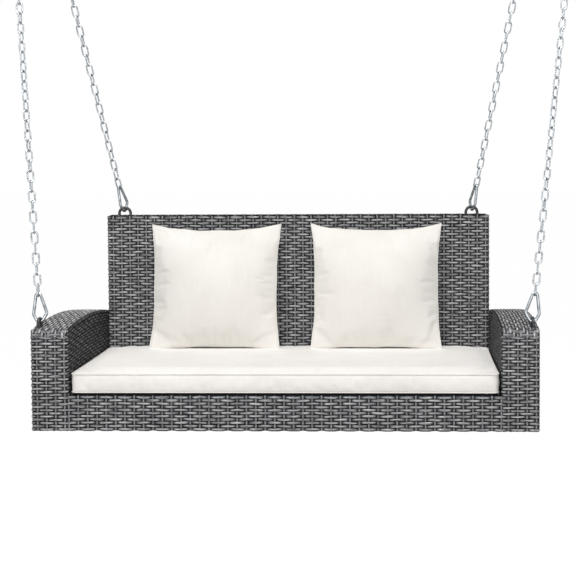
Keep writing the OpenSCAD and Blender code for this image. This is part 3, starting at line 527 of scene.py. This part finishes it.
def woven(name, points, across, height, closed, seed, shift=None):
    """A plain mesh of rows along the points, repeated over the height in the direction of across."""
    ends = [tuple(p) for p in points]
    pairs = [(i, (i + 1) % len(ends)) for i in range(len(ends) if closed else len(ends) - 1)]
    path_mesh = bpy.data.meshes.new(name)
    path_mesh.from_pydata(ends, pairs, [])
    path = add_object(name, path_mesh)
    stakes = round(sum(math.dist(ends[a], ends[b]) for a, b in pairs) / STAKE_PITCH)
    stakes += stakes % 2 if closed else 0
    rows = round(height / ROW_PITCH)
    modifier = path.modifiers.new("weave", "NODES")
    modifier.node_group = weave
    values = {"Rows": rows, "Stakes": stakes, "Row pitch": height / rows, "Across": across, "Closed": closed,
              "Seed": seed, "Strand finish": strand_finish, "Stake finish": stake_finish, **WEAVE_SIZES}
    for key, value in values.items():
        modifier[socket_id(weave, key)] = value
    mesh = evaluated_mesh(path)
    bpy.data.objects.remove(path)
    if shift:
        for vertex in mesh.vertices:
            vertex.co = shift(vertex.co)
    print(name, rows, "rows", stakes, "stakes", len(mesh.polygons), "faces")
    return mesh


print("a stake every", STAKE_PITCH / MM, "mm, a row every", ROW_PITCH / MM, "mm")

# %% Joining and finishing pieces
def join_meshes(name, meshes):
    """One object from several meshes."""
    pieces = [add_object(name, mesh) for mesh in meshes]
    with bpy.context.temp_override(active_object=pieces[0], selected_editable_objects=pieces):
        bpy.ops.object.join()
    pieces[0].name = name
    pieces[0].data.name = name
    return pieces[0]


def finish_piece(piece, body, slot, *nodes):
    """Puts a finished piece on its body, in place of its CAD nodes."""
    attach(piece, body)
    if nodes:
        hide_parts(*nodes)
    triangles = sum(len(p.vertices) - 2 for p in piece.data.polygons)
    print(piece.name, triangles, "triangles")


def arc(centre_a, centre_b, radius, start, stop, steps):
    """Points of an arc in the plane of two axes, with both ends; the angles are in degrees."""
    turns = [math.radians(start + (stop - start) * k / steps) for k in range(steps + 1)]
    return [(centre_a + radius * math.cos(t), centre_b + radius * math.sin(t)) for t in turns]


def rounded_rectangle(x0, y0, x1, y1, radius):
    """Points round a rectangle, anticlockwise seen from +Z."""
    x0, y0, x1, y1 = x0 + radius, y0 + radius, x1 - radius, y1 - radius
    return [point for x, y, start in ((x1, y0, -90), (x1, y1, 0), (x0, y1, 90), (x0, y0, 180))
            for point in arc(x, y, radius, start, start + 90, 4)]


print("a rounded rectangle has", len(rounded_rectangle(0, 0, 1, 1, 0.1)), "points")

# %% [markdown]
# ### Backrest
# The backrest is a flat panel on a tube frame, woven over and over. The rows go
# once round the panel, the stakes stand in them, and short rows along the top
# and bottom close it where the strand is wound over the tubes. One mesh of it
# all would be too heavy to hand on, so it is woven in two halves, one above the
# other.

# %% Weave the backrest
BACK_CORNER = 9 * MM
PRESSED = 2.5 * MM        # the sides are bolted tight against the arms' strands
EDGE = 3 * MM             # room for the wound edge above and below the rows
CAP_END = 8 * MM          # the caps' strands end this far from the corners
side_in = SKIN - PRESSED    # less than nothing: the sides stand a hair proud
plan = rounded_rectangle(back_low.x + side_in, back_low.y + SKIN,
                         back_high.x - side_in, back_high.y - SKIN, BACK_CORNER)
wall_low, wall_high = back_low.z + EDGE, back_high.z - EDGE
wall_rows = round((wall_high - wall_low) / ROW_PITCH)
lower_rows = wall_rows // 4 * 2     # an even number, so that the upper half goes on in step
split = wall_low + lower_rows * (wall_high - wall_low) / wall_rows
cap_x = (back_low.x + CAP_END, back_high.x - CAP_END)
cap_depth = back_high.y - back_low.y - 2 * EDGE
# for each half: its lower and upper end, the cap's height, depth and direction, a seed, the node it replaces
HALVES = (("back_weave_lower", wall_low, split, back_low.z + SKIN, back_high.y - EDGE, -Y, 3, ()),
          ("back_weave_upper", split, wall_high, back_high.z - SKIN, back_low.y + EDGE, Y, 4,
           ("back_wicker",)))
for name, z0, z1, cap_z, cap_y, across, seed, nodes in HALVES:
    wall = woven(name, [(x, y, z0) for x, y in plan], Z, z1 - z0, True, seed)
    cap = woven(name + "_cap", [(x, cap_y, cap_z) for x in cap_x], across, cap_depth, False, seed + 20)
    finish_piece(join_meshes(name, [wall, cap]), "swing", "resin_wicker", *nodes)

# %% [markdown]
# ### Arms
# Each arm is a box with an arched top, woven over a bent frame. Its lowest rows
# are level and the upper ones rise and fall with the arch, because the weaver
# spreads the curve over all of them. Straight rows cut off by the arch would
# leave loose ends. So the box is woven straight and bent afterwards. The top
# and the underside have rows lengthwise.

# %% Bend the arms' rows
ARCH_RADIUS = 2000 * MM
CROWN_BEHIND_FRONT = 230 * MM
EDGE_RADIUS = 18 * MM     # of the rounded edges in front and behind
OVER_MOST = 0.97          # the rows go this share of a radius over the edge, short of lying flat
FADE = 1.25               # radii from an end over which the laying back fades out
arm_top_z = arm_high.z
crown_y = arm_low.y + CROWN_BEHIND_FRONT


def arch(y, inset=0.0):
    """Height of the arm's arch at a depth, as far below the outer face as inset."""
    return arm_top_z - ARCH_RADIUS + math.sqrt((ARCH_RADIUS - inset) ** 2 - (y - crown_y) ** 2)


def follow_arch(co):
    """Bends the upper rows to the arch, and lays the top ones back over the rounded end edges."""
    share = max(0.0, (co.z - arm_low.z) / (arm_top_z - arm_low.z))
    crest = arch(min(max(co.y, arm_low.y + EDGE_RADIUS), arm_high.y - EDGE_RADIUS))
    y, z = co.y, co.z - (arm_top_z - crest) * share ** 2
    over = min(max(z - crest + EDGE_RADIUS, 0.0), OVER_MOST * EDGE_RADIUS)
    back = EDGE_RADIUS - math.sqrt(EDGE_RADIUS ** 2 - over ** 2)
    y += back * min(1.0, max(0.0, FADE - (y - arm_low.y) / EDGE_RADIUS))
    y -= back * min(1.0, max(0.0, FADE - (arm_high.y - y) / EDGE_RADIUS))
    return Vector((co.x, y, z))


def arm_top_path():
    """Depths and heights from the front face over the edge, along the arch and over the rear edge."""
    r = EDGE_RADIUS - SKIN
    front, rear = arm_low.y + EDGE_RADIUS, arm_high.y - EDGE_RADIUS
    middle = [front + (rear - front) * k / 24 for k in range(1, 24)]
    return (arc(front, arch(front, EDGE_RADIUS), r, 180, 94, 6) + [(y, arch(y, SKIN)) for y in middle]
            + arc(rear, arch(rear, EDGE_RADIUS), r, 94, 0, 6))


print("arch falls", round((arm_top_z - arch(arm_high.y)) / MM, 1), "mm to the rear")

# %% Weave the arms
ARM_CORNER = 7 * MM
FOOT, HEAD = 2 * MM, 2.5 * MM     # gaps between the rows and the lower and upper edges
UNDER_END = 8 * MM
ROUND_OFF = 1.5 * MM              # how far the top's two long edges are lowered
INNER_REACH = 7 * MM              # how deep the strands of the inner side lie
INNER_START, INNER_FADE = 5 * MM, 6 * MM      # behind the front edge, where their painted shade sets in
for side, sign in (("left", -1), ("right", 1)):
    low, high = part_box("arm_wicker_" + side)
    mid_x, half, width = (low.x + high.x) / 2, (high.x - low.x) / 2, high.x - low.x - 2 * SKIN
    plan = rounded_rectangle(low.x + SKIN, low.y + SKIN, high.x - SKIN, high.y - SKIN, ARM_CORNER)
    wall = woven("arm_wall", [(x, y, low.z + FOOT) for x, y in plan], Z,
                 arm_top_z - low.z - FOOT - HEAD, True, 7 + sign, follow_arch)

    def round_off(co):
        """Lowers the strands at the arm's two long top edges."""
        share = abs(co.x - mid_x) / half
        return Vector((co.x, co.y, co.z - ROUND_OFF * share ** 6))

    path = [(low.x + SKIN, y, z) for y, z in reversed(arm_top_path())]
    top = woven("arm_top", path, X, width, False, 11 + sign, round_off)
    path = [(low.x + SKIN, y, low.z + SKIN) for y in (low.y + UNDER_END, high.y - UNDER_END)]
    under = woven("arm_under", path, X, width, False, 15 + sign)
    piece = join_meshes("arm_weave_" + side, [wall, top, under])
    # marks the side towards the cushion, where the strand's finish paints shade
    inner = piece.data.attributes.new("inner", "FLOAT", "POINT")
    inner_face_x = mid_x * sign - half
    for vertex in piece.data.vertices:
        near_inner_face = abs(vertex.co.x) < inner_face_x + INNER_REACH and vertex.co.y < back_high.y
        depth_in = (vertex.co.y - low.y - INNER_START) / INNER_FADE
        inner.data[vertex.index].value = min(1.0, max(0.0, depth_in)) if near_inner_face else 0.0
    finish_piece(piece, "swing", "resin_wicker", "arm_wicker_" + side)

# %% [markdown]
# ### Deck and apron
# The deck is one sheet of rows from arm to arm that turns down over the side
# tubes and the rear tube. The apron hangs in front and goes once round the
# lower tube. Most of the deck lies under the cushion and a plain board would
# do from above, but the real weave is what is seen from below.

# %% Weave the deck
DECK_CORNER = 8 * MM
BEHIND_APRON = 12 * MM    # the deck's rows start behind the apron's
REAR_END = 9 * MM
deck_x = deck_high.x - SKIN
bend_x, bend_z = deck_x - DECK_CORNER, deck_high.z - SKIN - DECK_CORNER
profile = ([(-deck_x, deck_low.z)] + arc(-bend_x, bend_z, DECK_CORNER, 180, 90, 6)
           + arc(bend_x, bend_z, DECK_CORNER, 90, 0, 6) + [(deck_x, deck_low.z)])
sheet = woven("deck_sheet", [(x, deck_low.y + BEHIND_APRON, z) for x, z in profile], Y,
              deck_high.y - deck_low.y - BEHIND_APRON - EDGE, False, 31)
# seen from behind, the rear flank's rows run the other way, so they face back
rear_x = (deck_high.x - REAR_END, deck_low.x + REAR_END)
rear = woven("deck_rear", [(x, deck_high.y - SKIN, deck_low.z) for x in rear_x], Z,
             deck_high.z - deck_low.z - EDGE, False, 32)
finish_piece(join_meshes("deck_weave", [sheet, rear]), "swing", "resin_wicker", "seat_deck_wicker")

# %% Weave the apron
LIP_HEIGHT = 18 * MM
APRON_PRESSED = 1.2 * MM  # the strands' ends press against the arms
side_x = apron_high.x + APRON_PRESSED
front_y, lip_y = apron_low.y + SKIN, apron_high.y - SKIN
front = woven("apron_front", [(x, front_y, apron_low.z + FOOT) for x in (-side_x, side_x)], Z,
              apron_high.z - apron_low.z - FOOT - HEAD, False, 35)
bottom = woven("apron_bottom", [(x, lip_y, apron_low.z + SKIN) for x in (-side_x, side_x)], -Y,
               lip_y - front_y, False, 36)
lip = woven("apron_lip", [(x, lip_y, apron_low.z + FOOT) for x in (side_x, -side_x)], Z,
            LIP_HEIGHT, False, 37)
finish_piece(join_meshes("apron_weave", [front, bottom, lip]), "swing", "resin_wicker", "front_apron_wicker")

# %% [markdown]
# ## Sewn covers
# The pieces of cloth are sewn flat and the filling pushes them out. Sculpting
# that by hand is guesswork, so a cloth simulation with pressure gives the
# shape: the seams hold still and the panels swell between them. The grid has
# its rows of points on the seams, so the seam lines are known afterwards.

# %% Grids for sewn covers
def grid_box(name, low, high, counts, soften):
    """A closed box of quads with the given counts, and the number of the point at each place."""
    nx, ny, nz = counts
    index, points, faces = {}, [], []

    def point(*place):
        if place not in index:
            index[place] = len(points)
            corner = [a + (b - a) * p / n for a, b, p, n in zip(low, high, place, counts)]
            points.append(soften(Vector(corner)))
        return index[place]

    for i in range(nx):
        for j in range(ny):
            faces.append([point(i, j, nz), point(i + 1, j, nz), point(i + 1, j + 1, nz), point(i, j + 1, nz)])
            faces.append([point(i, j, 0), point(i, j + 1, 0), point(i + 1, j + 1, 0), point(i + 1, j, 0)])
    for i in range(nx):
        for k in range(nz):
            faces.append([point(i, 0, k), point(i + 1, 0, k), point(i + 1, 0, k + 1), point(i, 0, k + 1)])
            faces.append([point(i, ny, k), point(i, ny, k + 1), point(i + 1, ny, k + 1), point(i + 1, ny, k)])
    for j in range(ny):
        for k in range(nz):
            faces.append([point(0, j, k), point(0, j, k + 1), point(0, j + 1, k + 1), point(0, j + 1, k)])
            faces.append([point(nx, j, k), point(nx, j + 1, k), point(nx, j + 1, k + 1), point(nx, j, k + 1)])
    mesh = bpy.data.meshes.new(name)
    mesh.from_pydata(points, [], faces)
    return mesh, index


def rim_of(nx, ny):
    """The places once round a grid's rim."""
    return ([(i, 0) for i in range(nx)] + [(nx, j) for j in range(ny)]
            + [(i, ny) for i in range(nx, 0, -1)] + [(0, j) for j in range(ny, 0, -1)])


print("the rim of 3 by 2 cells has", len(rim_of(3, 2)), "points")

# %% Swelling a cover
PRESSURE = 4.0


def swell(piece, held, caps, frames, shrink, stiffness):
    """Runs cloth with pressure on the piece, then keeps each point within its cap of where it began."""
    start = [v.co.copy() for v in piece.data.vertices]
    piece.vertex_groups.new(name="held").add(held, 1.0, "REPLACE")
    modifier = piece.modifiers.new("cloth", "CLOTH")
    cloth = modifier.settings
    cloth.quality = 6
    cloth.mass = 0.2
    cloth.tension_stiffness = cloth.compression_stiffness = stiffness
    cloth.bending_stiffness = 0.6
    cloth.use_pressure = True
    cloth.uniform_pressure_force = PRESSURE
    cloth.shrink_min = shrink
    cloth.effector_weights.gravity = 0
    cloth.vertex_group_mass = "held"
    modifier.collision_settings.use_collision = False
    modifier.point_cache.frame_start = 1
    modifier.point_cache.frame_end = frames
    scene = bpy.context.scene
    for number in range(1, frames + 1):
        scene.frame_set(number)
    evaluated = piece.evaluated_get(bpy.context.evaluated_depsgraph_get())
    moved = [v.co.copy() for v in evaluated.data.vertices]
    piece.modifiers.remove(modifier)
    scene.frame_set(1)
    for vertex, was, now, cap in zip(piece.data.vertices, start, moved, caps):
        step = now - was
        vertex.co = was + step * min(1.0, cap / max(step.length, 1e-9))
    piece.vertex_groups.clear()
    piece.data.update()


print("covers swell under a pressure of", PRESSURE)

# %% [markdown]
# ### Cover cloth
# The covers are a plain-woven off-white polyester with a slub: some threads
# are thicker than others. A picture of cloth would repeat, so two sets of
# threads are drawn as waves with a noise for the slubs. The real thread spacing
# of 0.5 mm is too fine to show, so the weave is drawn at 1.6 mm. Matt fibres
# scatter light at the edges, which the sheen gives.

# %% Cover cloth finish
THREAD = 1.6 * MM
SLUB_X, SLUB_YZ = 71.429 * MM, 62.5 * MM  # length of the thick stretches in each set of threads
SLUB_WIDTH = 2.381 * MM
SLUB_SHARE = 1.6                          # of the slubs in the cloth's relief
BROAD_SHADE = 111.11 * MM                 # patches that the dye took a little better
THREAD_RELIEF = 0.12 * MM


def cover_cloth(name, colour, shade):
    """Off-white woven cloth with slubs."""
    material, tree = new_material(name)
    place = add_node(tree, "ShaderNodeTexCoord").outputs["Object"]
    broad = add_node(tree, "ShaderNodeTexNoise", Vector=place, Scale=1 / BROAD_SHADE, Detail=3.0)
    thin = 1 / SLUB_WIDTH
    heights = []
    for direction, stretch in (((1, 0, 0), (1 / SLUB_X, thin, thin)),
                               ((0, 1, 1), (thin, 1 / SLUB_YZ, 1 / SLUB_YZ))):
        distance = add_node(tree, VECTORS, place, direction, operation="DOT_PRODUCT").outputs["Value"]
        phase = add_node(tree, MATHS, distance, 2 * math.pi / THREAD, operation="MULTIPLY")
        wave = add_node(tree, MATHS, phase, operation="SINE")
        stretched = add_node(tree, VECTORS, place, stretch, operation="MULTIPLY")
        slubs = add_node(tree, "ShaderNodeTexNoise", Vector=stretched, Scale=1.0, Detail=1.0)
        heights.append(add_node(tree, MATHS, slubs, SLUB_SHARE, wave, operation="MULTIPLY_ADD"))
    height = add_node(tree, MATHS, *heights, operation="ADD")
    # the colour follows the relief: painted shade darkens the hollows between the threads
    spread = add_node(tree, MAP, height, -0.5, 3.2, 0, 1)
    tone = add_node(tree, MATHS, spread, 0.7, broad, operation="MULTIPLY_ADD")
    tones = add_node(tree, "ShaderNodeValToRGB", add_node(tree, MAP, tone, 0.45, 1.1, 0, 1))
    for stop, stop_colour in zip(tones.color_ramp.elements, (shade, colour)):
        stop.color = linear(stop_colour)
    relief = add_node(tree, "ShaderNodeBump", Height=height, Distance=THREAD_RELIEF, Strength=0.35)
    shader = add_node(tree, "ShaderNodeBsdfPrincipled", Base_Color=tones, Normal=relief, Roughness=0.85,
                      Sheen_Weight=0.25, Sheen_Roughness=0.5)
    add_node(tree, "ShaderNodeOutputMaterial", shader)
    return material


cover = cover_cloth("off_white_woven_cover", "#EFECE8", "#E1DDD8")
pillow_cover = cover_cloth("off_white_pillow_cover", "#E2DFDA", "#D4D0C9")
piping_cloth = cover_cloth("off_white_piping", "#E8E5E0", "#D8D4CD")
print("cloth drawn with a thread every", THREAD / MM, "mm")

# %% [markdown]
# ### Seat cushion
# A boxed cushion is two large panels and a band sewn round them, filled with
# a foam slab. A bevelled box would look like a mattress of plaster. So the
# slab starts as a grid with its sides a little drawn in, as seams do that, and
# the cloth swells from there. The underside lies flat on the deck.

# %% Seat cushion shape
START_IN = 3 * MM         # room for the sides to swell into
START_UP = 0.5 * MM
SLAB_HEIGHT = 46 * MM
SIDES_DRAWN = 2 * MM
SLAB_CORNER = 16 * MM
SWELL_MOST = 12 * MM
CUSHION_COUNTS = (134, 60, 6)
c_low = cushion_low + Vector((START_IN, START_IN, START_UP))
c_high = Vector((cushion_high.x - START_IN, cushion_high.y - START_IN, cushion_low.z + SLAB_HEIGHT))
c_mid = (c_low + c_high) / 2
c_half = (c_high - c_low) / 2


def draw_in(co):
    """The sides pull in a little between the corners, and the upright corners are rounded."""
    u, v = (co.x - c_mid.x) / c_half.x, (co.y - c_mid.y) / c_half.y
    x = co.x - math.copysign(SIDES_DRAWN * (1 - v * v), u) * abs(u) ** 6
    y = co.y - math.copysign(SIDES_DRAWN * (1 - u * u), v) * abs(v) ** 6
    straight_x, straight_y = c_half.x - SLAB_CORNER, c_half.y - SLAB_CORNER
    over_x, over_y = abs(x - c_mid.x) - straight_x, abs(y - c_mid.y) - straight_y
    if over_x > 0 and over_y > 0:
        scale = max(over_x, over_y) / math.hypot(over_x, over_y)
        x = c_mid.x + math.copysign(straight_x + over_x * scale, u)
        y = c_mid.y + math.copysign(straight_y + over_y * scale, v)
    return Vector((x, y, co.z))


cushion_mesh, cushion_index = grid_box("seat_cushion", c_low, c_high, CUSHION_COUNTS, draw_in)
cushion = add_object("seat_cushion", cushion_mesh)
nx, ny, nz = CUSHION_COUNTS
held = [number for (i, j, k), number in cushion_index.items()
        if k == 0 or (k == nz and (i in (0, nx) or j in (0, ny)))]
swell(cushion, held, [SWELL_MOST] * len(cushion_index), 18, -0.012, 15)
for vertex in cushion.data.vertices:
    vertex.co.z = max(vertex.co.z, cushion_low.z)
print("seat cushion", [round(v, 4) for v in cushion.dimensions])

# %% [markdown]
# ### Piping
# A cord covered in the same cloth is sewn into each seam. It could be drawn as
# a line of another colour, but it stands proud and throws a shadow of its own,
# so it is a round cord swept along the seam's points.

# %% Cords, rounding and materials
def round_cord(name, points, radius):
    """A closed round cord through the points, as a mesh."""
    data = bpy.data.curves.new(name, "CURVE")
    data.dimensions = "3D"
    data.bevel_depth = radius
    data.bevel_resolution = 2
    spline = data.splines.new("POLY")
    spline.points.add(len(points) - 1)
    for spot, point in zip(spline.points, points):
        spot.co = (*point, 1)
    spline.use_cyclic_u = True
    holder = add_object(name, data)
    mesh = evaluated_mesh(holder)
    bpy.data.objects.remove(holder)
    mesh.shade_smooth()
    return mesh


def round_quads(piece):
    """Subdivides the piece once, and applies it."""
    modifier = piece.modifiers.new("rounder", "SUBSURF")
    modifier.levels = modifier.render_levels = 1
    mesh = evaluated_mesh(piece)
    piece.modifiers.clear()
    piece.data = mesh
    mesh.shade_smooth()


def set_only_material(mesh, material):
    """Gives a mesh one material."""
    mesh.materials.clear()
    mesh.materials.append(material)


print("helpers for cords and covers ready")

# %% Seat cushion seams
CUSHION_PIPING = 1.3 * MM     # radius
seams = [[cushion.data.vertices[cushion_index[i, j, k]].co.copy() for i, j in rim_of(nx, ny)]
         for k in (0, nz)]
round_quads(cushion)
set_only_material(cushion.data, cover)
piping = [round_cord("cushion_piping", seam, CUSHION_PIPING) for seam in seams]
for mesh in piping:
    set_only_material(mesh, piping_cloth)
finish_piece(cushion, "seat_cushion", "cushion_fabric", "seat_cushion_cover", "seat_cushion_foam")
finish_piece(join_meshes("seat_cushion_piping", piping), "seat_cushion", "cushion_fabric")

# %% [markdown]
# ## Back pillows
# A knife-edge pillow is two squares of cloth sewn edge to edge and stuffed.
# The filling pulls the middle of each side in and leaves the corners as points.
# An inflated flat bag would show that by itself, but with far more wrinkles
# than a well-filled pillow has. So each starts as a bag that is nearly full,
# with its rim already drawn in, and the cloth only swells it and puckers it.

# %% Pillow bag
PILLOW_N = 60
PILLOW_WIDTH, PILLOW_HEIGHT, PILLOW_THICK = 364 * MM, 354 * MM, 106 * MM
DRAW_SIDE, DRAW_TOP, DRAW_FOOT = 12 * MM, 19 * MM, 11 * MM     # how far each edge is drawn in at its middle
FULLNESS = 0.75           # below 1 the bag is filled out towards its edges
PUCKERS_PER_METRE = 24
PUCKER_SEED = 3
noise.seed_set(PUCKER_SEED)     # left alone, the vector noise starts from another place in each session


def share_across(step):
    """From -1 at one side of a pillow's grid to 1 at the other."""
    return 2 * step / PILLOW_N - 1


def bag_point(i, j, face, seed):
    """The place of a point of the bag, in the pillow's own plane; face is -1, 1, or 0 on the rim."""
    u, v = share_across(i), share_across(j)
    fill = max(0.0, (1 - u * u) * (1 - v * v)) ** FULLNESS
    x = u * (PILLOW_WIDTH / 2 - DRAW_SIDE * (1 - abs(v) ** 3))
    z = v * (PILLOW_HEIGHT / 2 - (DRAW_TOP if v > 0 else DRAW_FOOT) * (1 - abs(u) ** 3))
    # the seam wanders by up to 2 mm, and the middle of the bag doesn't
    pucker = noise.noise_vector(Vector((x * PUCKERS_PER_METRE, z * PUCKERS_PER_METRE, seed)))
    wander = pucker * 2.0 * MM * max(abs(u), abs(v)) ** 4
    return x + wander.x, face * PILLOW_THICK / 2 * fill, z + wander.z


def pillow_bag(name, seed):
    """Two sheets of quads that share their rim, and the number of the point at each place."""
    last = PILLOW_N - 1
    index, points, faces = {}, [], []

    def point(i, j, face):
        key = (i, j, 0 if i in (0, PILLOW_N) or j in (0, PILLOW_N) else face)
        if key not in index:
            index[key] = len(points)
            points.append(bag_point(*key, seed))
        return index[key]

    for i in range(PILLOW_N):
        for j in range(PILLOW_N):
            for face in (-1, 1):
                a, b = point(i, j, face), point(i + 1, j, face)
                c, d = point(i + 1, j + 1, face), point(i, j + 1, face)
                cell = [(a, b, c, d)]
                # the cells at the tips are cut from the tip inwards, so that the sheets share no edge there
                if i in (0, last) and j in (0, last):
                    cell = [(a, b, c), (a, c, d)] if i == j else [(a, b, d), (b, c, d)]
                faces += cell if face < 0 else [part[::-1] for part in cell]
    mesh = bpy.data.meshes.new(name)
    mesh.from_pydata(points, [], faces)
    return mesh, index


def keep_sharp(mesh, ring):
    """Creases the edges round a closed ring of points, so that subdividing leaves the seam where it is."""
    pairs = {frozenset(pair) for pair in zip(ring, ring[1:] + ring[:1])}
    crease = mesh.attributes.new("crease_edge", "FLOAT", "EDGE")
    for edge in mesh.edges:
        crease.data[edge.index].value = 1.0 if frozenset(edge.vertices) in pairs else 0.0


print("pillow grid of", PILLOW_N, "by", PILLOW_N, "cells on each face")

# %% Pillows
LEAN = math.radians(12)
# the filling isn't even, so the whole bag bends a little
SLUMP, SLUMPS_PER_METRE = 1.5 * MM, 9
# how far the cloth may move at the seam, and how much further in the middle
RIM_ROOM, MIDDLE_ROOM = 1.5 * MM, 6 * MM
PILLOW_PIPING = 0.9 * MM
for side, seed in (("left", 5), ("right", 9)):
    low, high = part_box("pillow_cover_" + side)
    mesh, index = pillow_bag("pillow_" + side, seed)
    pillow = add_object("pillow_" + side, mesh)
    for vertex in mesh.vertices:
        spot = Vector((vertex.co.x * SLUMPS_PER_METRE, vertex.co.z * SLUMPS_PER_METRE, seed))
        vertex.co.y += SLUMP * noise.noise(spot)
    rim = [index[i, j, 0] for i, j in rim_of(PILLOW_N, PILLOW_N)]
    caps = [0.0] * len(mesh.vertices)
    for (i, j, face), number in index.items():
        u, v = share_across(i), share_across(j)
        caps[number] = RIM_ROOM + MIDDLE_ROOM * (1 - u * u) * (1 - v * v)
    swell(pillow, rim, caps, 20, -0.022, 12)
    seam = [mesh.vertices[i].co.copy() for i in rim]
    keep_sharp(mesh, rim)
    round_quads(pillow)
    edging = round_cord("pillow_seam_" + side, seam, PILLOW_PIPING)
    place = Matrix.Translation((low + high) / 2) @ Matrix.Rotation(-LEAN, 4, "X")
    pillow.data.transform(place)
    edging.transform(place)
    set_only_material(pillow.data, pillow_cover)
    set_only_material(edging, piping_cloth)
    print(pillow.name, [round(v, 4) for v in pillow.dimensions])
    finish_piece(pillow, side + "_pillow", "cushion_fabric", "pillow_cover_" + side, "pillow_insert_" + side)
    finish_piece(add_object("pillow_seam_" + side, edging), side + "_pillow", "cushion_fabric")

# %% [markdown]
# ## Metal finishes
# Zinc plating is a thin, slightly cloudy coat on bright steel: links and hooks
# are pale grey with soft reflections. The loops, hangers and hidden tubes are
# powder-coated black, which leaves a fine orange-peel texture. One flat grey
# would look like plastic, so a slow noise clouds the colour and the gloss, and
# a fine one breaks the reflections up.

# %% Metals
ZINC_GRIT, ZINC_RELIEF = 1.1111 * MM, 0.04 * MM
PEEL, PEEL_RELIEF = 1.4286 * MM, 0.1 * MM
WORN_PATCH = 28.571 * MM


def zinc_plate(name, light, dark, cloud):
    """Cloudy zinc on steel, with clouds of the given size."""
    material, tree = new_material(name)
    place = add_node(tree, "ShaderNodeTexCoord").outputs["Object"]
    clouds = add_node(tree, "ShaderNodeTexNoise", Vector=place, Scale=1 / cloud, Detail=4.0, Roughness=0.6)
    tones = add_node(tree, "ShaderNodeValToRGB", add_node(tree, MAP, clouds, 0.3, 0.7, 0, 1))
    for stop, colour in zip(tones.color_ramp.elements, (dark, light)):
        stop.color = linear(colour)
    grit = add_node(tree, "ShaderNodeTexNoise", Vector=place, Scale=1 / ZINC_GRIT, Detail=2.0)
    relief = add_node(tree, "ShaderNodeBump", Height=grit, Distance=ZINC_RELIEF, Strength=0.4)
    shader = add_node(tree, "ShaderNodeBsdfPrincipled", Base_Color=tones, Metallic=1.0, Normal=relief,
                      Roughness=add_node(tree, MAP, clouds, 0.3, 0.7, 0.22, 0.4))
    add_node(tree, "ShaderNodeOutputMaterial", shader)
    return material


def powder_coat(name, colour, worn):
    """Satin black powder coat on steel."""
    material, tree = new_material(name)
    place = add_node(tree, "ShaderNodeTexCoord").outputs["Object"]
    peel = add_node(tree, "ShaderNodeTexNoise", Vector=place, Scale=1 / PEEL, Detail=2.0)
    patches = add_node(tree, "ShaderNodeTexNoise", Vector=place, Scale=1 / WORN_PATCH, Detail=3.0)
    tones = add_node(tree, "ShaderNodeValToRGB", add_node(tree, MAP, patches, 0.35, 0.75, 0, 1))
    for stop, stop_colour in zip(tones.color_ramp.elements, (colour, worn)):
        stop.color = linear(stop_colour)
    relief = add_node(tree, "ShaderNodeBump", Height=peel, Distance=PEEL_RELIEF, Strength=0.5)
    shader = add_node(tree, "ShaderNodeBsdfPrincipled", Base_Color=tones, IOR=1.5, Normal=relief,
                      Roughness=add_node(tree, MAP, patches, 0.3, 0.7, 0.38, 0.5))
    add_node(tree, "ShaderNodeOutputMaterial", shader)
    return material


zinc = zinc_plate("zinc_plated_chain", "#C6CACD", "#8A8F94", 6.25 * MM)
bright_zinc = zinc_plate("zinc_plated_hook", "#B2B7BA", "#72787D", 11.11 * MM)
screw_zinc = zinc_plate("zinc_plated_fastener", "#CFD0CC", "#9C9C96", 5 * MM)
black_coat = powder_coat("black_powder_coat", "#141416", "#232326")
finishes = {"hanger_steel": black_coat, "hook_steel": bright_zinc, "chain_steel": zinc,
            "loop_steel": black_coat, "frame_steel": black_coat, "fastener_steel": screw_zinc}
for part in frame["record"]["subparts"]:
    if part["material_slot"] in finishes:
        node_mesh = frame["nodes"][part["node"]].data
        set_only_material(node_mesh, finishes[part["material_slot"]])
        for polygon in node_mesh.polygons:
            polygon.material_index = 0
print("metals on", len(finishes), "slots")
